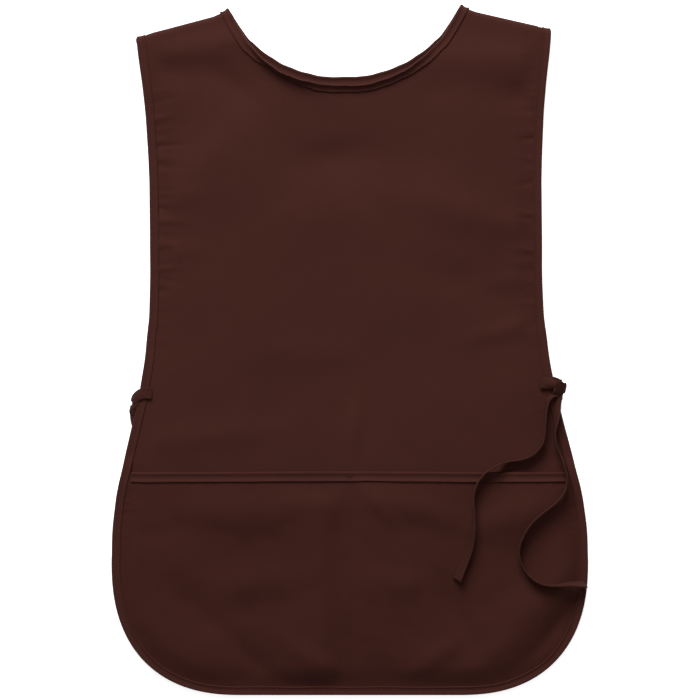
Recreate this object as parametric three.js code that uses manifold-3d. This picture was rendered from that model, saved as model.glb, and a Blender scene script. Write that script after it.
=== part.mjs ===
// A cobbler apron of plain woven cloth, lying on its back with the front up.
// Front and back panel join over the shoulders, every edge is bound with folded tape,
// one patch pocket runs across the front, and narrow ties close both sides.
// Millimetres, +X to the right as the front is seen, +Y towards the neck, +Z up.
// Left and right are those of a viewer who looks at the front.
import * as THREE from 'three';
import { mergeVertices } from 'three/addons/utils/BufferGeometryUtils.js';
import Module from 'manifold-3d';

const { lerp, smoothstep, clamp } = THREE.MathUtils;
const wasm = await Module();
wasm.setup();

// Outline
const apronLength = 711;
const hipWidth = 491;
const chestWidth = 404;
const shoulderWidth = 427;
const hipLevel = 139;
const chestLevel = 468;
const yokeLevel = 530;
const cornerRun = 134;
const cornerRoundness = 2.4;
const chestLean = -3.9;
const shoulderLean = -6.4;

// Shoulders and neck
const leftShoulderDrop = 29.4;
const rightShoulderDrop = 24.9;
const shoulderTilt = 3.9;
const neckWidth = 240;
const neckLean = -5.4;
const frontNeckDepth = 80;
const backNeckDepth = 70;
const foldHeight = 11.2;

// Cloth and binding
const cloth = 1;
const clearance = 0.3;
const bindingWidth = 9.5;
const underBinding = 11.5;

// How the cloth lies
const frontHeight = 13.5;
const frontRise = 110;
const backSettle = 85;
const shoulderSpread = 130;
const dentFade = 60;
const restGap = 0.6;

// Pocket
const pocketDepth = 231;
const pocketMouth = 5;
const pocketEase = 0.4;
const pocketMouthReach = 75;
const pocketTopRelease = 35;
const pocketRamp = 20;

// Ties, half an inch wide
const tapeWidth = 12;
const leftTieLevel = 311;
const rightTieLevel = 322;
const tapeFlat = 16;
const tapeFade = 70;
const tailSlotLevel = 276;
const tailSlotHalf = 24;
const bunchedShare = 0.38;
const bunchedStops = 4;

// Grid and stations
const frontCell = 50;
const backCell = 90;
const foldSteps = 5;
const bandStep = 28.5;
const hemStep = 37;
const neckStep = 19;
const cornerSteps = 8;
const slopeStep = 0.5;
const neckReadings = 400;
const bridgeReach = 7;
const bridgeReadings = 8;
const knotAround = 12;
const knotLump = 0.08;
const knotFlatness = 0.15;

// Worked out from the sizes above
const innerFace = cloth / 2 + clearance;
const outerFace = innerFace + cloth;
const layer = cloth + clearance;
const foldRadius = foldHeight / 2;
const backEdgeHeight = outerFace;
const frontEdgeHeight = backEdgeHeight + outerFace * 2 + clearance;
const foldCentre = backEdgeHeight + foldRadius;
const foldArc = foldRadius * Math.PI / 2;
const foldSlack = foldArc - foldRadius;
const pocketTop = pocketDepth;

// Cloth below the chest widens to the hips: drop from chest to hip, share of the widening
const flareTable = [
  { drop: 0, out: 0 },
  { drop: 0.18, out: 0.015 },
  { drop: 0.3, out: 0.09 },
  { drop: 0.44, out: 0.24 },
  { drop: 0.56, out: 0.44 },
  { drop: 0.7, out: 0.7 },
  { drop: 0.85, out: 0.93 },
  { drop: 1, out: 1 },
];
// Above the yoke it widens again to the shoulder: rise, share of the widening
const yokeTable = [
  { rise: 0, out: 0 },
  { rise: 0.3, out: 0.16 },
  { rise: 0.6, out: 0.43 },
  { rise: 0.85, out: 0.81 },
  { rise: 1, out: 1 },
];
// Shoulder line from the neck outwards: share of its width, share of its drop
const shoulderTable = [
  { out: 0, drop: 0 },
  { out: 0.16, drop: 0.23 },
  { out: 0.7, drop: 0.69 },
  { out: 0.82, drop: 0.79 },
  { out: 1, drop: 1 },
];
// Neckline from the middle outwards: share of the half width, share of the depth
const neckTable = [
  { across: 0, drop: 1 },
  { across: 0.15, drop: 0.995 },
  { across: 0.3, drop: 0.947 },
  { across: 0.46, drop: 0.858 },
  { across: 0.61, drop: 0.728 },
  { across: 0.78, drop: 0.51 },
  { across: 0.87, drop: 0.34 },
  { across: 1, drop: 0 },
];
// Soft folds and dents of the front: place as shares of half width and length, turn in
// degrees, spread along and across as shares of the length, height in shares of the
// height that the front lies at
const foldTable = {
  dipBelowNeck: { x: -0.02, y: 0.79, turn: 0, along: 0.09, across: 0.035, height: -0.2 },
  leftShoulderDip: { x: -0.57, y: 0.91, turn: 60, along: 0.06, across: 0.03, height: -0.12 },
  rightStrapSwell: { x: 0.62, y: 0.85, turn: 100, along: 0.09, across: 0.04, height: 0.12 },
  leftChestSwell: { x: -0.4, y: 0.68, turn: 80, along: 0.12, across: 0.06, height: 0.14 },
  chestSlant: { x: 0.2, y: 0.62, turn: -35, along: 0.16, across: 0.045, height: 0.12 },
  waistHollow: { x: -0.1, y: 0.46, turn: 10, along: 0.18, across: 0.05, height: -0.13 },
  rightWaistSwell: { x: 0.5, y: 0.42, turn: -20, along: 0.12, across: 0.045, height: 0.1 },
  pocketSlant: { x: 0.22, y: 0.24, turn: -55, along: 0.1, across: 0.035, height: 0.14 },
  leftPocketHollow: { x: -0.45, y: 0.17, turn: 20, along: 0.12, across: 0.05, height: -0.12 },
  rightHemDent: { x: 0.78, y: 0.13, turn: -50, along: 0.05, across: 0.03, height: -0.2 },
};

// Tail routes, chosen by hand: across from the middle, up from the hem, turn of the
// tape in degrees from standing on its edge
const rightTailA = [
  { x: 213.2, y: 309.6, turn: 40 },
  { x: 208.4, y: 308, turn: 34 },
  { x: 204.2, y: 304.6, turn: 24 },
  { x: 201.9, y: 298, turn: 10 },
  { x: 201, y: 286, turn: 2 },
  { x: 200.3, y: 270, turn: 0 },
  { x: 198.5, y: 261, turn: 0 },
  { x: 194.7, y: 254.5, turn: 0 },
  { x: 188, y: 248, turn: 0 },
  { x: 177.5, y: 243.3, turn: 0 },
  { x: 162, y: 240.7, turn: 0 },
  { x: 151, y: 237.2, turn: 0 },
  { x: 139.8, y: 230.6, turn: 0 },
  { x: 132.5, y: 222.5, turn: 0 },
  { x: 128, y: 213, turn: 0 },
  { x: 126.3, y: 199, turn: 4 },
  { x: 126.8, y: 184, turn: 10 },
  { x: 126.3, y: 167, turn: 16 },
  { x: 123.8, y: 154, turn: 24 },
  { x: 119.7, y: 143, turn: 32 },
  { x: 114.6, y: 131, turn: 40 },
  { x: 109.9, y: 119.7, turn: 46 },
];
const rightTailB = [
  { x: 216.6, y: 308, turn: 60 },
  { x: 214.8, y: 301, turn: 55 },
  { x: 213.2, y: 292, turn: 45 },
  { x: 211.4, y: 281, turn: 22 },
  { x: 210.6, y: 270, turn: 4 },
  { x: 212.2, y: 258, turn: 0 },
  { x: 216.8, y: 246, turn: 0 },
  { x: 220.8, y: 234.5, turn: 0 },
  { x: 222.6, y: 224, turn: 0 },
  { x: 221.4, y: 214, turn: 0 },
  { x: 216.8, y: 205, turn: 0 },
  { x: 209, y: 197.3, turn: 0 },
  { x: 198.5, y: 189.2, turn: 0 },
  { x: 188, y: 180.2, turn: 0 },
  { x: 180.2, y: 169.7, turn: 0 },
  { x: 175, y: 158, turn: 0 },
  { x: 173.4, y: 147.3, turn: 0 },
  { x: 175.8, y: 136.6, turn: 0 },
  { x: 181.5, y: 126.6, turn: 0 },
  { x: 189.4, y: 119.2, turn: 0 },
  { x: 199, y: 115, turn: 0 },
  { x: 211.7, y: 114.2, turn: 5 },
  { x: 225, y: 115.4, turn: 16 },
  { x: 241.6, y: 114.6, turn: 26 },
];
const leftTailA = [
  { x: -224.2, y: 288.8, turn: 90 },
  { x: -222.6, y: 281, turn: 90 },
  { x: -218.5, y: 273.5, turn: 90 },
  { x: -212, y: 267, turn: 90 },
  { x: -203, y: 261, turn: 90 },
  { x: -190, y: 255, turn: 90 },
  { x: -180, y: 243, turn: 90 },
  { x: -175, y: 228, turn: 90 },
  { x: -174, y: 212, turn: 90 },
  { x: -177, y: 196, turn: 90 },
  { x: -181, y: 180, turn: 90 },
  { x: -182, y: 164, turn: 90 },
  { x: -179, y: 148, turn: 90 },
  { x: -174, y: 132, turn: 90 },
  { x: -170, y: 116, turn: 90 },
  { x: -168, y: 100, turn: 90 },
];
const leftTailB = [
  { x: -219.6, y: 299, turn: 90 },
  { x: -213, y: 298.6, turn: 90 },
  { x: -204, y: 296, turn: 90 },
  { x: -192, y: 290.5, turn: 90 },
  { x: -178, y: 283, turn: 90 },
  { x: -165, y: 271, turn: 90 },
  { x: -156, y: 257, turn: 90 },
  { x: -152, y: 241, turn: 90 },
  { x: -152, y: 224, turn: 90 },
  { x: -155, y: 207, turn: 90 },
  { x: -159, y: 190, turn: 90 },
  { x: -160, y: 173, turn: 90 },
  { x: -157, y: 156, turn: 90 },
  { x: -151, y: 140, turn: 90 },
  { x: -145, y: 125, turn: 90 },
];

// Reads a smooth curve out of a table whose first column rises
function readTable(rows, from, to, at) {
  const last = rows.length - 1;
  const x = clamp(at, rows[0][from], rows[last][from]);
  let i = 0;
  while (i < last - 1 && x > rows[i + 1][from]) {
    i += 1;
  }
  const slope = (k) => {
    const low = rows[Math.max(k - 1, 0)];
    const high = rows[Math.min(k + 1, last)];
    return (high[to] - low[to]) / (high[from] - low[from]);
  };
  const span = rows[i + 1][from] - rows[i][from];
  const t = (x - rows[i][from]) / span;
  const start = rows[i][to] + slope(i) * span * t;
  const end = rows[i + 1][to] - slope(i + 1) * span * (1 - t);
  return lerp(start, end, t * t * (3 - 2 * t));
}

// Reads straight lines between the rows of a table
function readLines(rows, from, to, at) {
  const last = rows.length - 1;
  let i = 0;
  while (i < last - 1 && at > rows[i + 1][from]) {
    i += 1;
  }
  const t = clamp((at - rows[i][from]) / (rows[i + 1][from] - rows[i][from]), 0, 1);
  return lerp(rows[i][to], rows[i + 1][to], t);
}

// Neck tip and shoulder corner of one side, on the middle of the cloth
function shoulder(side) {
  const tilt = side < 0 ? shoulderTilt : 0;
  const drop = side < 0 ? leftShoulderDrop : rightShoulderDrop;
  const tipX = neckLean + side * neckWidth / 2;
  const cornerX = shoulderLean + side * shoulderWidth / 2;
  return { tipX, cornerX, tipY: apronLength - outerFace - tilt, drop };
}

// The line along which the cloth folds over the shoulders, seen from above
function shoulderLine(x) {
  const left = shoulder(-1);
  const right = shoulder(1);
  if (x > left.tipX && x < right.tipX) {
    return lerp(left.tipY, right.tipY, (x - left.tipX) / (right.tipX - left.tipX));
  }
  const own = x < neckLean ? left : right;
  const out = (x - own.tipX) / (own.cornerX - own.tipX);
  return own.tipY - own.drop * readLines(shoulderTable, 'out', 'drop', out);
}

// The shoulder seam in the pattern, where the cloth is unrolled from its fold
const seamLine = (x) => shoulderLine(x) + foldSlack;

function halfWidth(y, side) {
  const hip = hipWidth / 2;
  const chest = chestWidth / 2;
  if (y < hipLevel) {
    return hip;
  }
  if (y < chestLevel) {
    const drop = (chestLevel - y) / (chestLevel - hipLevel);
    return chest + (hip - chest) * readTable(flareTable, 'drop', 'out', drop);
  }
  const corner = shoulder(side);
  const top = corner.tipY - corner.drop;
  const rise = (y - yokeLevel) / (top - yokeLevel);
  return chest + (shoulderWidth / 2 - chest) * readTable(yokeTable, 'rise', 'out', rise);
}

function lean(y) {
  if (y < chestLevel) {
    return chestLean * smoothstep(y, hipLevel, chestLevel);
  }
  const rise = clamp((y - chestLevel) / (apronLength - chestLevel), 0, 1);
  return lerp(chestLean, shoulderLean, rise);
}

const sideEdge = (y, side) => lean(y) + side * halfWidth(y, side);
const pocketTopLine = (x) => pocketTop - cloth * smoothstep(Math.abs(x), 0, hipWidth / 2);

// Distances from the shoulder seam at which the fold is divided
const foldDivisions = Array.from({ length: foldSteps }, (none, i) => foldArc * i / foldSteps);

function subdivide(knots, step) {
  const values = [knots[0]];
  for (let i = 1; i < knots.length; i += 1) {
    const count = Math.max(1, Math.round(Math.abs(knots[i] - knots[i - 1]) / step));
    for (let k = 1; k <= count; k += 1) {
      values.push(lerp(knots[i - 1], knots[i], k / count));
    }
  }
  return values;
}

// One side of the outline from the shoulder seam down to the hem
function sidePath(side) {
  const { cornerX } = shoulder(side);
  const top = seamLine(cornerX);
  const tie = side < 0 ? leftTieLevel : rightTieLevel;
  const knots = [top - foldArc, tie, pocketTop + pocketRamp, pocketTop, hipLevel];
  const levels = foldDivisions.map((depth) => top - Math.max(depth, clearance / 2));
  const path = [];
  for (const y of levels) {
    path.push(new THREE.Vector2(cornerX, y));
  }
  for (const y of subdivide(knots, bandStep)) {
    path.push(new THREE.Vector2(sideEdge(y, side), y));
  }
  const power = 2 / cornerRoundness;
  for (let i = 1; i <= cornerSteps; i += 1) {
    const angle = Math.PI / 2 * i / cornerSteps;
    const out = hipWidth / 2 - cornerRun + cornerRun * Math.cos(angle) ** power;
    const y = hipLevel * (1 - Math.sin(angle) ** power);
    path.push(new THREE.Vector2(side * out, y));
  }
  return path;
}

// The whole outer edge, from the left shoulder seam round the hem to the right one
function edgePath() {
  const left = sidePath(-1);
  const right = sidePath(1).reverse();
  const from = left[left.length - 1].x;
  const hem = subdivide([from, right[0].x], hemStep).slice(1, -1);
  return [...left, ...hem.map((x) => new THREE.Vector2(x, 0)), ...right];
}

// The neckline of one panel, from the left shoulder seam to the right one
function neckPath(depth) {
  const path = [];
  const left = shoulder(-1);
  const right = shoulder(1);
  for (let i = 0; i <= neckReadings; i += 1) {
    const share = i / neckReadings;
    const across = lerp(-1, 1, share);
    const x = neckLean + across * neckWidth / 2;
    const top = lerp(seamLine(left.tipX), seamLine(right.tipX), share);
    const drop = readTable(neckTable, 'across', 'drop', Math.abs(across));
    path.push(new THREE.Vector2(x, top - (depth + foldSlack) * drop));
  }
  const curve = new THREE.Path();
  curve.setFromPoints(path);
  const total = curve.getLength();
  const lengthAt = (fromEnd, depthBelowSeam) => {
    const order = fromEnd ? path.slice().reverse() : path;
    const count = order.findIndex((point) => seamLine(point.x) - point.y >= depthBelowSeam);
    let length = 0;
    for (let i = 1; i <= count; i += 1) {
      length += order[i].distanceTo(order[i - 1]);
    }
    return fromEnd ? total - length : length;
  };
  const starts = foldDivisions.map((fold) => lengthAt(false, fold));
  const ends = foldDivisions.map((fold) => lengthAt(true, fold)).reverse();
  const inner = subdivide([lengthAt(false, foldArc), lengthAt(true, foldArc)], neckStep);
  return [...starts, ...inner, ...ends].map((length) => curve.getPoint(length / total));
}

// Stations along a path, each with the direction into the cloth there
function stations(path, inwardSide) {
  const last = path.length - 1;
  return path.map((point, i) => {
    const before = path[Math.max(i - 1, 0)];
    const after = path[Math.min(i + 1, last)];
    const along = after.clone().sub(before).normalize();
    const square = new THREE.Vector2(-along.y, along.x).multiplyScalar(inwardSide);
    const side = Math.sign(square.x) || 1;
    const near = point.x + side * bindingWidth / 3;
    const far = point.x + side * bindingWidth;
    const seam = new THREE.Vector2(far - near, seamLine(far) - seamLine(near)).normalize();
    const fromSeam = seamLine(point.x) - point.y;
    const inward = seam.lerp(square, smoothstep(fromSeam, 0, bindingWidth * 3)).normalize();
    return { x: point.x, y: point.y, inward };
  });
}

const outerPath = edgePath();
const outerStations = stations(outerPath, 1);
const frontNeckStations = stations(neckPath(frontNeckDepth), -1);
const backNeckPath = neckPath(backNeckDepth);
const backNeckStations = stations(backNeckPath, -1);

function distanceTo(path, x, y) {
  let nearest = Infinity;
  for (let i = 1; i < path.length; i += 1) {
    const a = path[i - 1];
    const b = path[i];
    const dx = b.x - a.x;
    const dy = b.y - a.y;
    const length2 = dx * dx + dy * dy;
    const t = length2 > 0 ? clamp(((x - a.x) * dx + (y - a.y) * dy) / length2, 0, 1) : 0;
    nearest = Math.min(nearest, Math.hypot(a.x + dx * t - x, a.y + dy * t - y));
  }
  return nearest;
}

const edgeDistance = (x, y) => distanceTo(outerPath, x, y);

// The edges lift where a tie is stitched under the back one
function tieLift(x, y) {
  const level = x < 0 ? leftTieLevel : rightTieLevel;
  return layer * (1 - smoothstep(Math.abs(y - level), tapeFlat, tapeFlat + tapeFade));
}

// The left edges part where the tails go in between them
function tailSlot(x, y) {
  const reach = Math.abs(y - tailSlotLevel);
  const lift = cloth + restGap * 2;
  return x < 0 ? lift * (1 - smoothstep(reach, tailSlotHalf, tailSlotHalf + tapeFade)) : 0;
}

function foldRelief(x, y) {
  let sum = 0;
  for (const fold of Object.values(foldTable)) {
    const turn = THREE.MathUtils.degToRad(fold.turn);
    const dx = x - fold.x * hipWidth / 2;
    const dy = y - fold.y * apronLength;
    const along = (dx * Math.cos(turn) + dy * Math.sin(turn)) / (fold.along * apronLength);
    const across = (dy * Math.cos(turn) - dx * Math.sin(turn)) / (fold.across * apronLength);
    sum += fold.height * Math.exp(-(along * along + across * across) / 2);
  }
  return sum * frontHeight;
}

// Height of the middle of the front cloth over the surface it lies on
function frontSurface(x, y) {
  const e = edgeDistance(x, y);
  const edge = frontEdgeHeight + tieLift(x, y) + tailSlot(x, y);
  const inside = frontHeight + smoothstep(e, 0, dentFade) * foldRelief(x, y);
  const lying = lerp(edge, inside, smoothstep(e, 0, frontRise));
  const below = shoulderLine(x) - foldRadius - y;
  return lerp(foldCentre + foldRadius, lying, smoothstep(below, 0, shoulderSpread));
}

// Height of the middle of the back cloth
function backSurface(x, y) {
  const below = shoulderLine(x) - foldRadius - y;
  const neck = distanceTo(backNeckPath, x, y);
  const e = Math.min(edgeDistance(x, y), neck, below + bindingWidth);
  const edge = backEdgeHeight + tieLift(x, y);
  return lerp(edge, cloth / 2, smoothstep(e, bindingWidth, bindingWidth + backSettle));
}

// Puts a point of the pattern in space: side is 1 on the front and -1 on the back,
// out is how far it lies outside the middle of the cloth
function place(side, x, y, out) {
  const fromSeam = seamLine(x) - y;
  if (fromSeam < foldArc) {
    const angle = fromSeam / foldRadius;
    const reach = foldRadius + out;
    const up = shoulderLine(x) - foldRadius + reach * Math.cos(angle);
    return new THREE.Vector3(x, up, foldCentre + side * reach * Math.sin(angle));
  }
  const surface = side > 0 ? frontSurface : backSurface;
  const slopeX = (surface(x + slopeStep, y) - surface(x - slopeStep, y)) / (2 * slopeStep);
  const slopeY = (surface(x, y) - surface(x, y - slopeStep)) / slopeStep;
  const normal = new THREE.Vector3(-slopeX, -slopeY, 1).normalize();
  return new THREE.Vector3(x, y, surface(x, y)).addScaledVector(normal, side * out);
}

// How far the middle of the pocket cloth stands over the middle of the front
function pocketStand(x, y) {
  const depth = pocketTopLine(x) - y;
  const bound = 1 - smoothstep(depth, underBinding + layer, underBinding + pocketTopRelease);
  const half = clamp((edgeDistance(x, y) - bindingWidth) / (hipWidth / 2 - bindingWidth), 0, 1);
  const mouth = Math.sin(Math.PI * half) ** 2;
  const reach = Math.exp(-((Math.max(depth, 0) / pocketMouthReach) ** 2));
  const ease = pocketEase * smoothstep(edgeDistance(x, y), underBinding, dentFade);
  return layer * (1 + bound) + ease + pocketMouth * mouth * reach;
}

// How far the outer leg of the front edge binding is lifted by the pocket below it
function pocketUnder(x, y) {
  const above = y - pocketTopLine(x);
  const full = layer * 2 + clearance;
  if (above > 0) {
    return full * (1 - smoothstep(above, 0, pocketRamp));
  }
  return pocketStand(x, y) + clearance * (1 - smoothstep(-above, underBinding, pocketDepth / 3));
}

// A closed mesh through rings of points, open at no side
function skin(rings, outline, loop) {
  const size = outline.length;
  const positions = rings.flat().flatMap((point) => [point.x, point.y, point.z]);
  const index = [];
  const spans = loop ? rings.length : rings.length - 1;
  for (let i = 0; i < spans; i += 1) {
    const here = i * size;
    const next = ((i + 1) % rings.length) * size;
    for (let j = 0; j < size; j += 1) {
      const k = (j + 1) % size;
      index.push(here + j, here + k, next + k);
      index.push(here + j, next + k, next + j);
    }
  }
  if (!loop) {
    const last = (rings.length - 1) * size;
    for (const [a, b, c] of capFaces(outline)) {
      index.push(a, c, b);
      index.push(last + a, last + b, last + c);
    }
  }
  return facingOut(positions, index);
}

// Triangles of an outline, running the same way round as the outline itself
function capFaces(outline) {
  const forward = THREE.ShapeUtils.area(outline) > 0;
  const faces = THREE.ShapeUtils.triangulateShape(outline, []);
  return faces.map(([a, b, c]) => {
    const face = [outline[a], outline[b], outline[c]];
    const sameWay = (THREE.ShapeUtils.area(face) > 0) === forward;
    return sameWay ? [a, b, c] : [a, c, b];
  });
}

function facingOut(positions, index) {
  let volume = 0;
  const corner = (i) => new THREE.Vector3().fromArray(positions, index[i] * 3);
  for (let i = 0; i < index.length; i += 3) {
    volume += corner(i).dot(corner(i + 1).cross(corner(i + 2)));
  }
  const order = volume > 0 ? index : index.slice().reverse();
  const geometry = new THREE.BufferGeometry();
  geometry.setAttribute('position', new THREE.Float32BufferAttribute(positions, 3));
  geometry.setIndex(order);
  geometry.computeVertexNormals();
  return geometry;
}

// Section of a folded binding: in is measured from its outer edge over the cloth,
// out from the middle of the cloth
function bindingSection(raise) {
  return [
    [bindingWidth, outerFace + raise],
    [0, outerFace + raise],
    [0, -outerFace],
    [bindingWidth, -outerFace],
    [bindingWidth, -innerFace],
    [cloth, -innerFace],
    [cloth, innerFace + raise],
    [bindingWidth, innerFace + raise],
  ];
}

const sectionOutline = bindingSection(0).map(([x, y]) => new THREE.Vector2(x, y));

function bindingRings(side, points, raiseAt) {
  return points.map(({ x, y, inward }) => {
    const raise = raiseAt ? raiseAt(x, y) : 0;
    return bindingSection(raise).map(([into, out]) => {
      return place(side, x + inward.x * into, y + inward.y * into, out);
    });
  });
}

// A slab of cloth in the pattern, cut to an outline inside a border strip. Its two
// faces lie at plus and minus half the cloth's thickness. The border's divisions are
// those of the binding that goes over it
function cutCloth(borders, ends, cell) {
  const inner = [];
  borders.forEach((border, i) => {
    inner.push(...border.map((station) => inset(station, underBinding - cloth)));
    inner.push(...(ends[i] ?? []));
  });
  let solid = gridSlab(cell).intersect(prismOf(inner));
  for (const border of borders) {
    solid = solid.add(stripSlab(border, ends.length === 0));
  }
  return solid.getMesh();
}

// Flat grid that follows the shoulder seams
function gridSlab(cell) {
  const columns = gridColumns(cell);
  const rows = gridRows(cell);
  const positions = [];
  for (const face of [cloth / 2, -cloth / 2]) {
    for (const row of rows) {
      for (const x of columns) {
        positions.push(x, seamLine(x) - row, face);
      }
    }
  }
  const wide = columns.length;
  const deep = rows.length;
  const layerSize = wide * deep;
  const index = [];
  for (let j = 0; j < deep - 1; j += 1) {
    for (let i = 0; i < wide - 1; i += 1) {
      const a = j * wide + i;
      const b = a + 1;
      const c = a + wide;
      const d = c + 1;
      index.push(a, c, d, a, d, b);
      index.push(a + layerSize, d + layerSize, c + layerSize);
      index.push(a + layerSize, b + layerSize, d + layerSize);
    }
  }
  const rim = [];
  for (let i = 0; i < wide; i += 1) {
    rim.push(i);
  }
  for (let j = 1; j < deep; j += 1) {
    rim.push(j * wide + wide - 1);
  }
  for (let i = wide - 2; i >= 0; i -= 1) {
    rim.push((deep - 1) * wide + i);
  }
  for (let j = deep - 2; j > 0; j -= 1) {
    rim.push(j * wide);
  }
  rim.forEach((here, i) => {
    const next = rim[(i + 1) % rim.length];
    index.push(here, next, next + layerSize, here, next + layerSize, here + layerSize);
  });
  return solidOf(new Float32Array(positions), new Uint32Array(index));
}

// Flat strip under a binding
function stripSlab(border, loop) {
  const half = cloth / 2;
  const section = [
    [layer, half],
    [layer, -half],
    [underBinding, -half],
    [underBinding, half],
  ];
  const outline = section.map(([x, y]) => new THREE.Vector2(x, y));
  const rings = border.map((station) => {
    return section.map(([into, face]) => {
      const { x, y } = inset(station, into);
      return new THREE.Vector3(x, y, face);
    });
  });
  const strip = skin(rings, outline, loop);
  return solidOf(strip.attributes.position.array, new Uint32Array(strip.index.array));
}

const inset = ({ x, y, inward }, into) => {
  return new THREE.Vector2(x + inward.x * into, y + inward.y * into);
};

function gridColumns(cell) {
  const edge = hipWidth / 2 + cloth;
  const knots = [-edge, edge];
  for (const side of [-1, 1]) {
    const { tipX, cornerX } = shoulder(side);
    for (const { out } of shoulderTable) {
      knots.push(lerp(tipX, cornerX, out));
    }
  }
  return subdivide(knots.sort((a, b) => a - b), cell);
}

function gridRows(cell) {
  return [-cloth, ...foldDivisions, ...subdivide([foldArc, apronLength + cloth * 4], cell)];
}

// Every face keeps its own number, so that the flat grid isn't merged away
function solidOf(vertProperties, triVerts) {
  const faceID = new Uint32Array(triVerts.length / 3).map((value, i) => i);
  return new wasm.Manifold(new wasm.Mesh({ numProp: 3, vertProperties, triVerts, faceID }));
}

function prismOf(outline) {
  const shape = new THREE.Shape(outline);
  const depth = cloth * 4;
  const extruded = new THREE.ExtrudeGeometry(shape, { depth, bevelEnabled: false });
  extruded.translate(0, 0, -depth / 2);
  extruded.deleteAttribute('normal');
  extruded.deleteAttribute('uv');
  const merged = mergeVertices(extruded);
  return solidOf(merged.attributes.position.array, new Uint32Array(merged.index.array));
}

// Lays the cut cloth in its place; lift is how far it lies outside the panel itself
function layCloth(mesh, side, lift) {
  const flat = new THREE.BufferGeometry();
  flat.setAttribute('position', new THREE.BufferAttribute(mesh.vertProperties, 3));
  flat.setIndex(new THREE.BufferAttribute(mesh.triVerts, 1));
  const welded = mergeVertices(flat, clearance / 10);
  const corners = welded.attributes.position;
  const positions = [];
  for (let i = 0; i < corners.count; i += 1) {
    const out = corners.getZ(i) + (lift ? lift(corners.getX(i), corners.getY(i)) : 0);
    positions.push(...place(side, corners.getX(i), corners.getY(i), out).toArray());
  }
  const index = [];
  for (let i = 0; i < welded.index.count; i += 3) {
    const face = [0, 1, 2].map((k) => welded.index.getX(i + k));
    if (new Set(face).size === 3) {
      index.push(...face);
    }
  }
  return facingOut(positions, index);
}

// Points along a shoulder seam, half the seam's gap away from it
function seamPoints(side) {
  const { tipX, cornerX } = shoulder(side);
  return shoulderTable.slice(1, -1).map(({ out }) => {
    const x = lerp(tipX, cornerX, out);
    return new THREE.Vector2(x, seamLine(x) - clearance / 2);
  });
}

// A whole panel, which ends at the shoulder seams
function cutPanel(neckStations, cell) {
  const neck = neckStations.slice().reverse().map((station, i, all) => {
    const atEnd = i === 0 || i === all.length - 1;
    return atEnd ? { ...station, y: station.y - clearance / 2 } : station;
  });
  const ends = [seamPoints(1).reverse(), seamPoints(-1)];
  return cutCloth([outerStations, neck], ends, cell);
}

// Stations along the pocket's top edge: the pocket's own border and its binding share
// them, and the binding reaches on to the inner ends of the edge bindings
function pocketStation(x) {
  return { x, y: pocketTopLine(x), inward: new THREE.Vector2(0, -1) };
}

function pocketTopStations() {
  const inside = underBinding + cloth;
  const from = sideEdge(pocketTop, -1) + inside;
  const to = sideEdge(pocketTop, 1) - inside;
  return subdivide([from, 0, to], bandStep).map(pocketStation);
}

// The pocket's border runs round the hem and back along its top edge
function cutPocket() {
  const corner = (side) => {
    const inward = new THREE.Vector2(-side, -1);
    return { x: sideEdge(pocketTop, side), y: pocketTop - cloth, inward };
  };
  const bottom = outerStations.filter(({ y }) => y < pocketTop - underBinding - layer);
  const top = pocketTopStations().reverse();
  return cutCloth([[corner(-1), ...bottom, corner(1), ...top]], [], frontCell);
}

function pocketBindingRings() {
  const gap = bindingWidth + clearance * 2;
  const first = pocketStation(sideEdge(pocketTop, -1) + gap);
  const last = pocketStation(sideEdge(pocketTop, 1) - gap);
  return [first, ...pocketTopStations(), last].map(({ x, y }) => {
    return bindingSection(0).map(([into, out]) => {
      return place(1, x, y - into, out + pocketStand(x, y - into));
    });
  });
}

// Height of the uppermost face of the dressed front
function topFace(x, y) {
  const e = edgeDistance(x, y);
  const inPocket = y < pocketTopLine(x);
  if (e < bindingWidth + cloth) {
    return frontSurface(x, y) + outerFace + pocketUnder(x, y);
  }
  if (!inPocket) {
    return frontSurface(x, y) + cloth / 2;
  }
  const onBinding = pocketTopLine(x) - y < bindingWidth + cloth;
  return frontSurface(x, y) + pocketStand(x, y) + (onBinding ? outerFace : cloth / 2);
}

// Height of the uppermost face of the back, which the left tails lie on
function backTopFace(x, y) {
  const bound = edgeDistance(x, y) < bindingWidth + cloth;
  return backSurface(x, y) + (bound ? outerFace : cloth / 2);
}

// The face under a tape, smoothed over the steps that the tape bridges
function bridged(face, x, y) {
  let top = face(x, y);
  for (const reach of [bridgeReach / 2, bridgeReach]) {
    for (let i = 0; i < bridgeReadings; i += 1) {
      const angle = 2 * Math.PI * i / bridgeReadings;
      top = Math.max(top, face(x + reach * Math.cos(angle), y + reach * Math.sin(angle)));
    }
  }
  return top;
}

// A flat tape through points that carry their own width and turn
function tapeSolid(points, steps) {
  const curve = new THREE.CatmullRomCurve3(points.map((point) => point.at), false, 'centripetal');
  const corners = [
    [0.5, 0.5],
    [-0.5, 0.5],
    [-0.5, -0.5],
    [0.5, -0.5],
  ];
  const rings = [];
  for (let i = 0; i <= steps; i += 1) {
    const t = i / steps;
    const at = curve.getPoint(t);
    const tangent = curve.getTangent(t);
    const along = t * (points.length - 1);
    const from = points[Math.min(Math.floor(along), points.length - 2)];
    const to = points[Math.min(Math.floor(along) + 1, points.length - 1)];
    const share = along - points.indexOf(from);
    const turn = THREE.MathUtils.degToRad(lerp(from.turn, to.turn, share));
    const width = lerp(from.width, to.width, share);
    const flat = new THREE.Vector3(0, 0, 1).cross(tangent).normalize();
    const upright = tangent.clone().cross(flat).normalize();
    const across = upright.multiplyScalar(Math.cos(turn)).addScaledVector(flat, Math.sin(turn));
    const thick = tangent.clone().cross(across).normalize();
    rings.push(corners.map(([wide, deep]) => {
      return at.clone().addScaledVector(across, wide * width).addScaledVector(thick, deep * cloth);
    }));
  }
  return skin(rings, corners.map(([x, y]) => new THREE.Vector2(x, y)), false);
}

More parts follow.
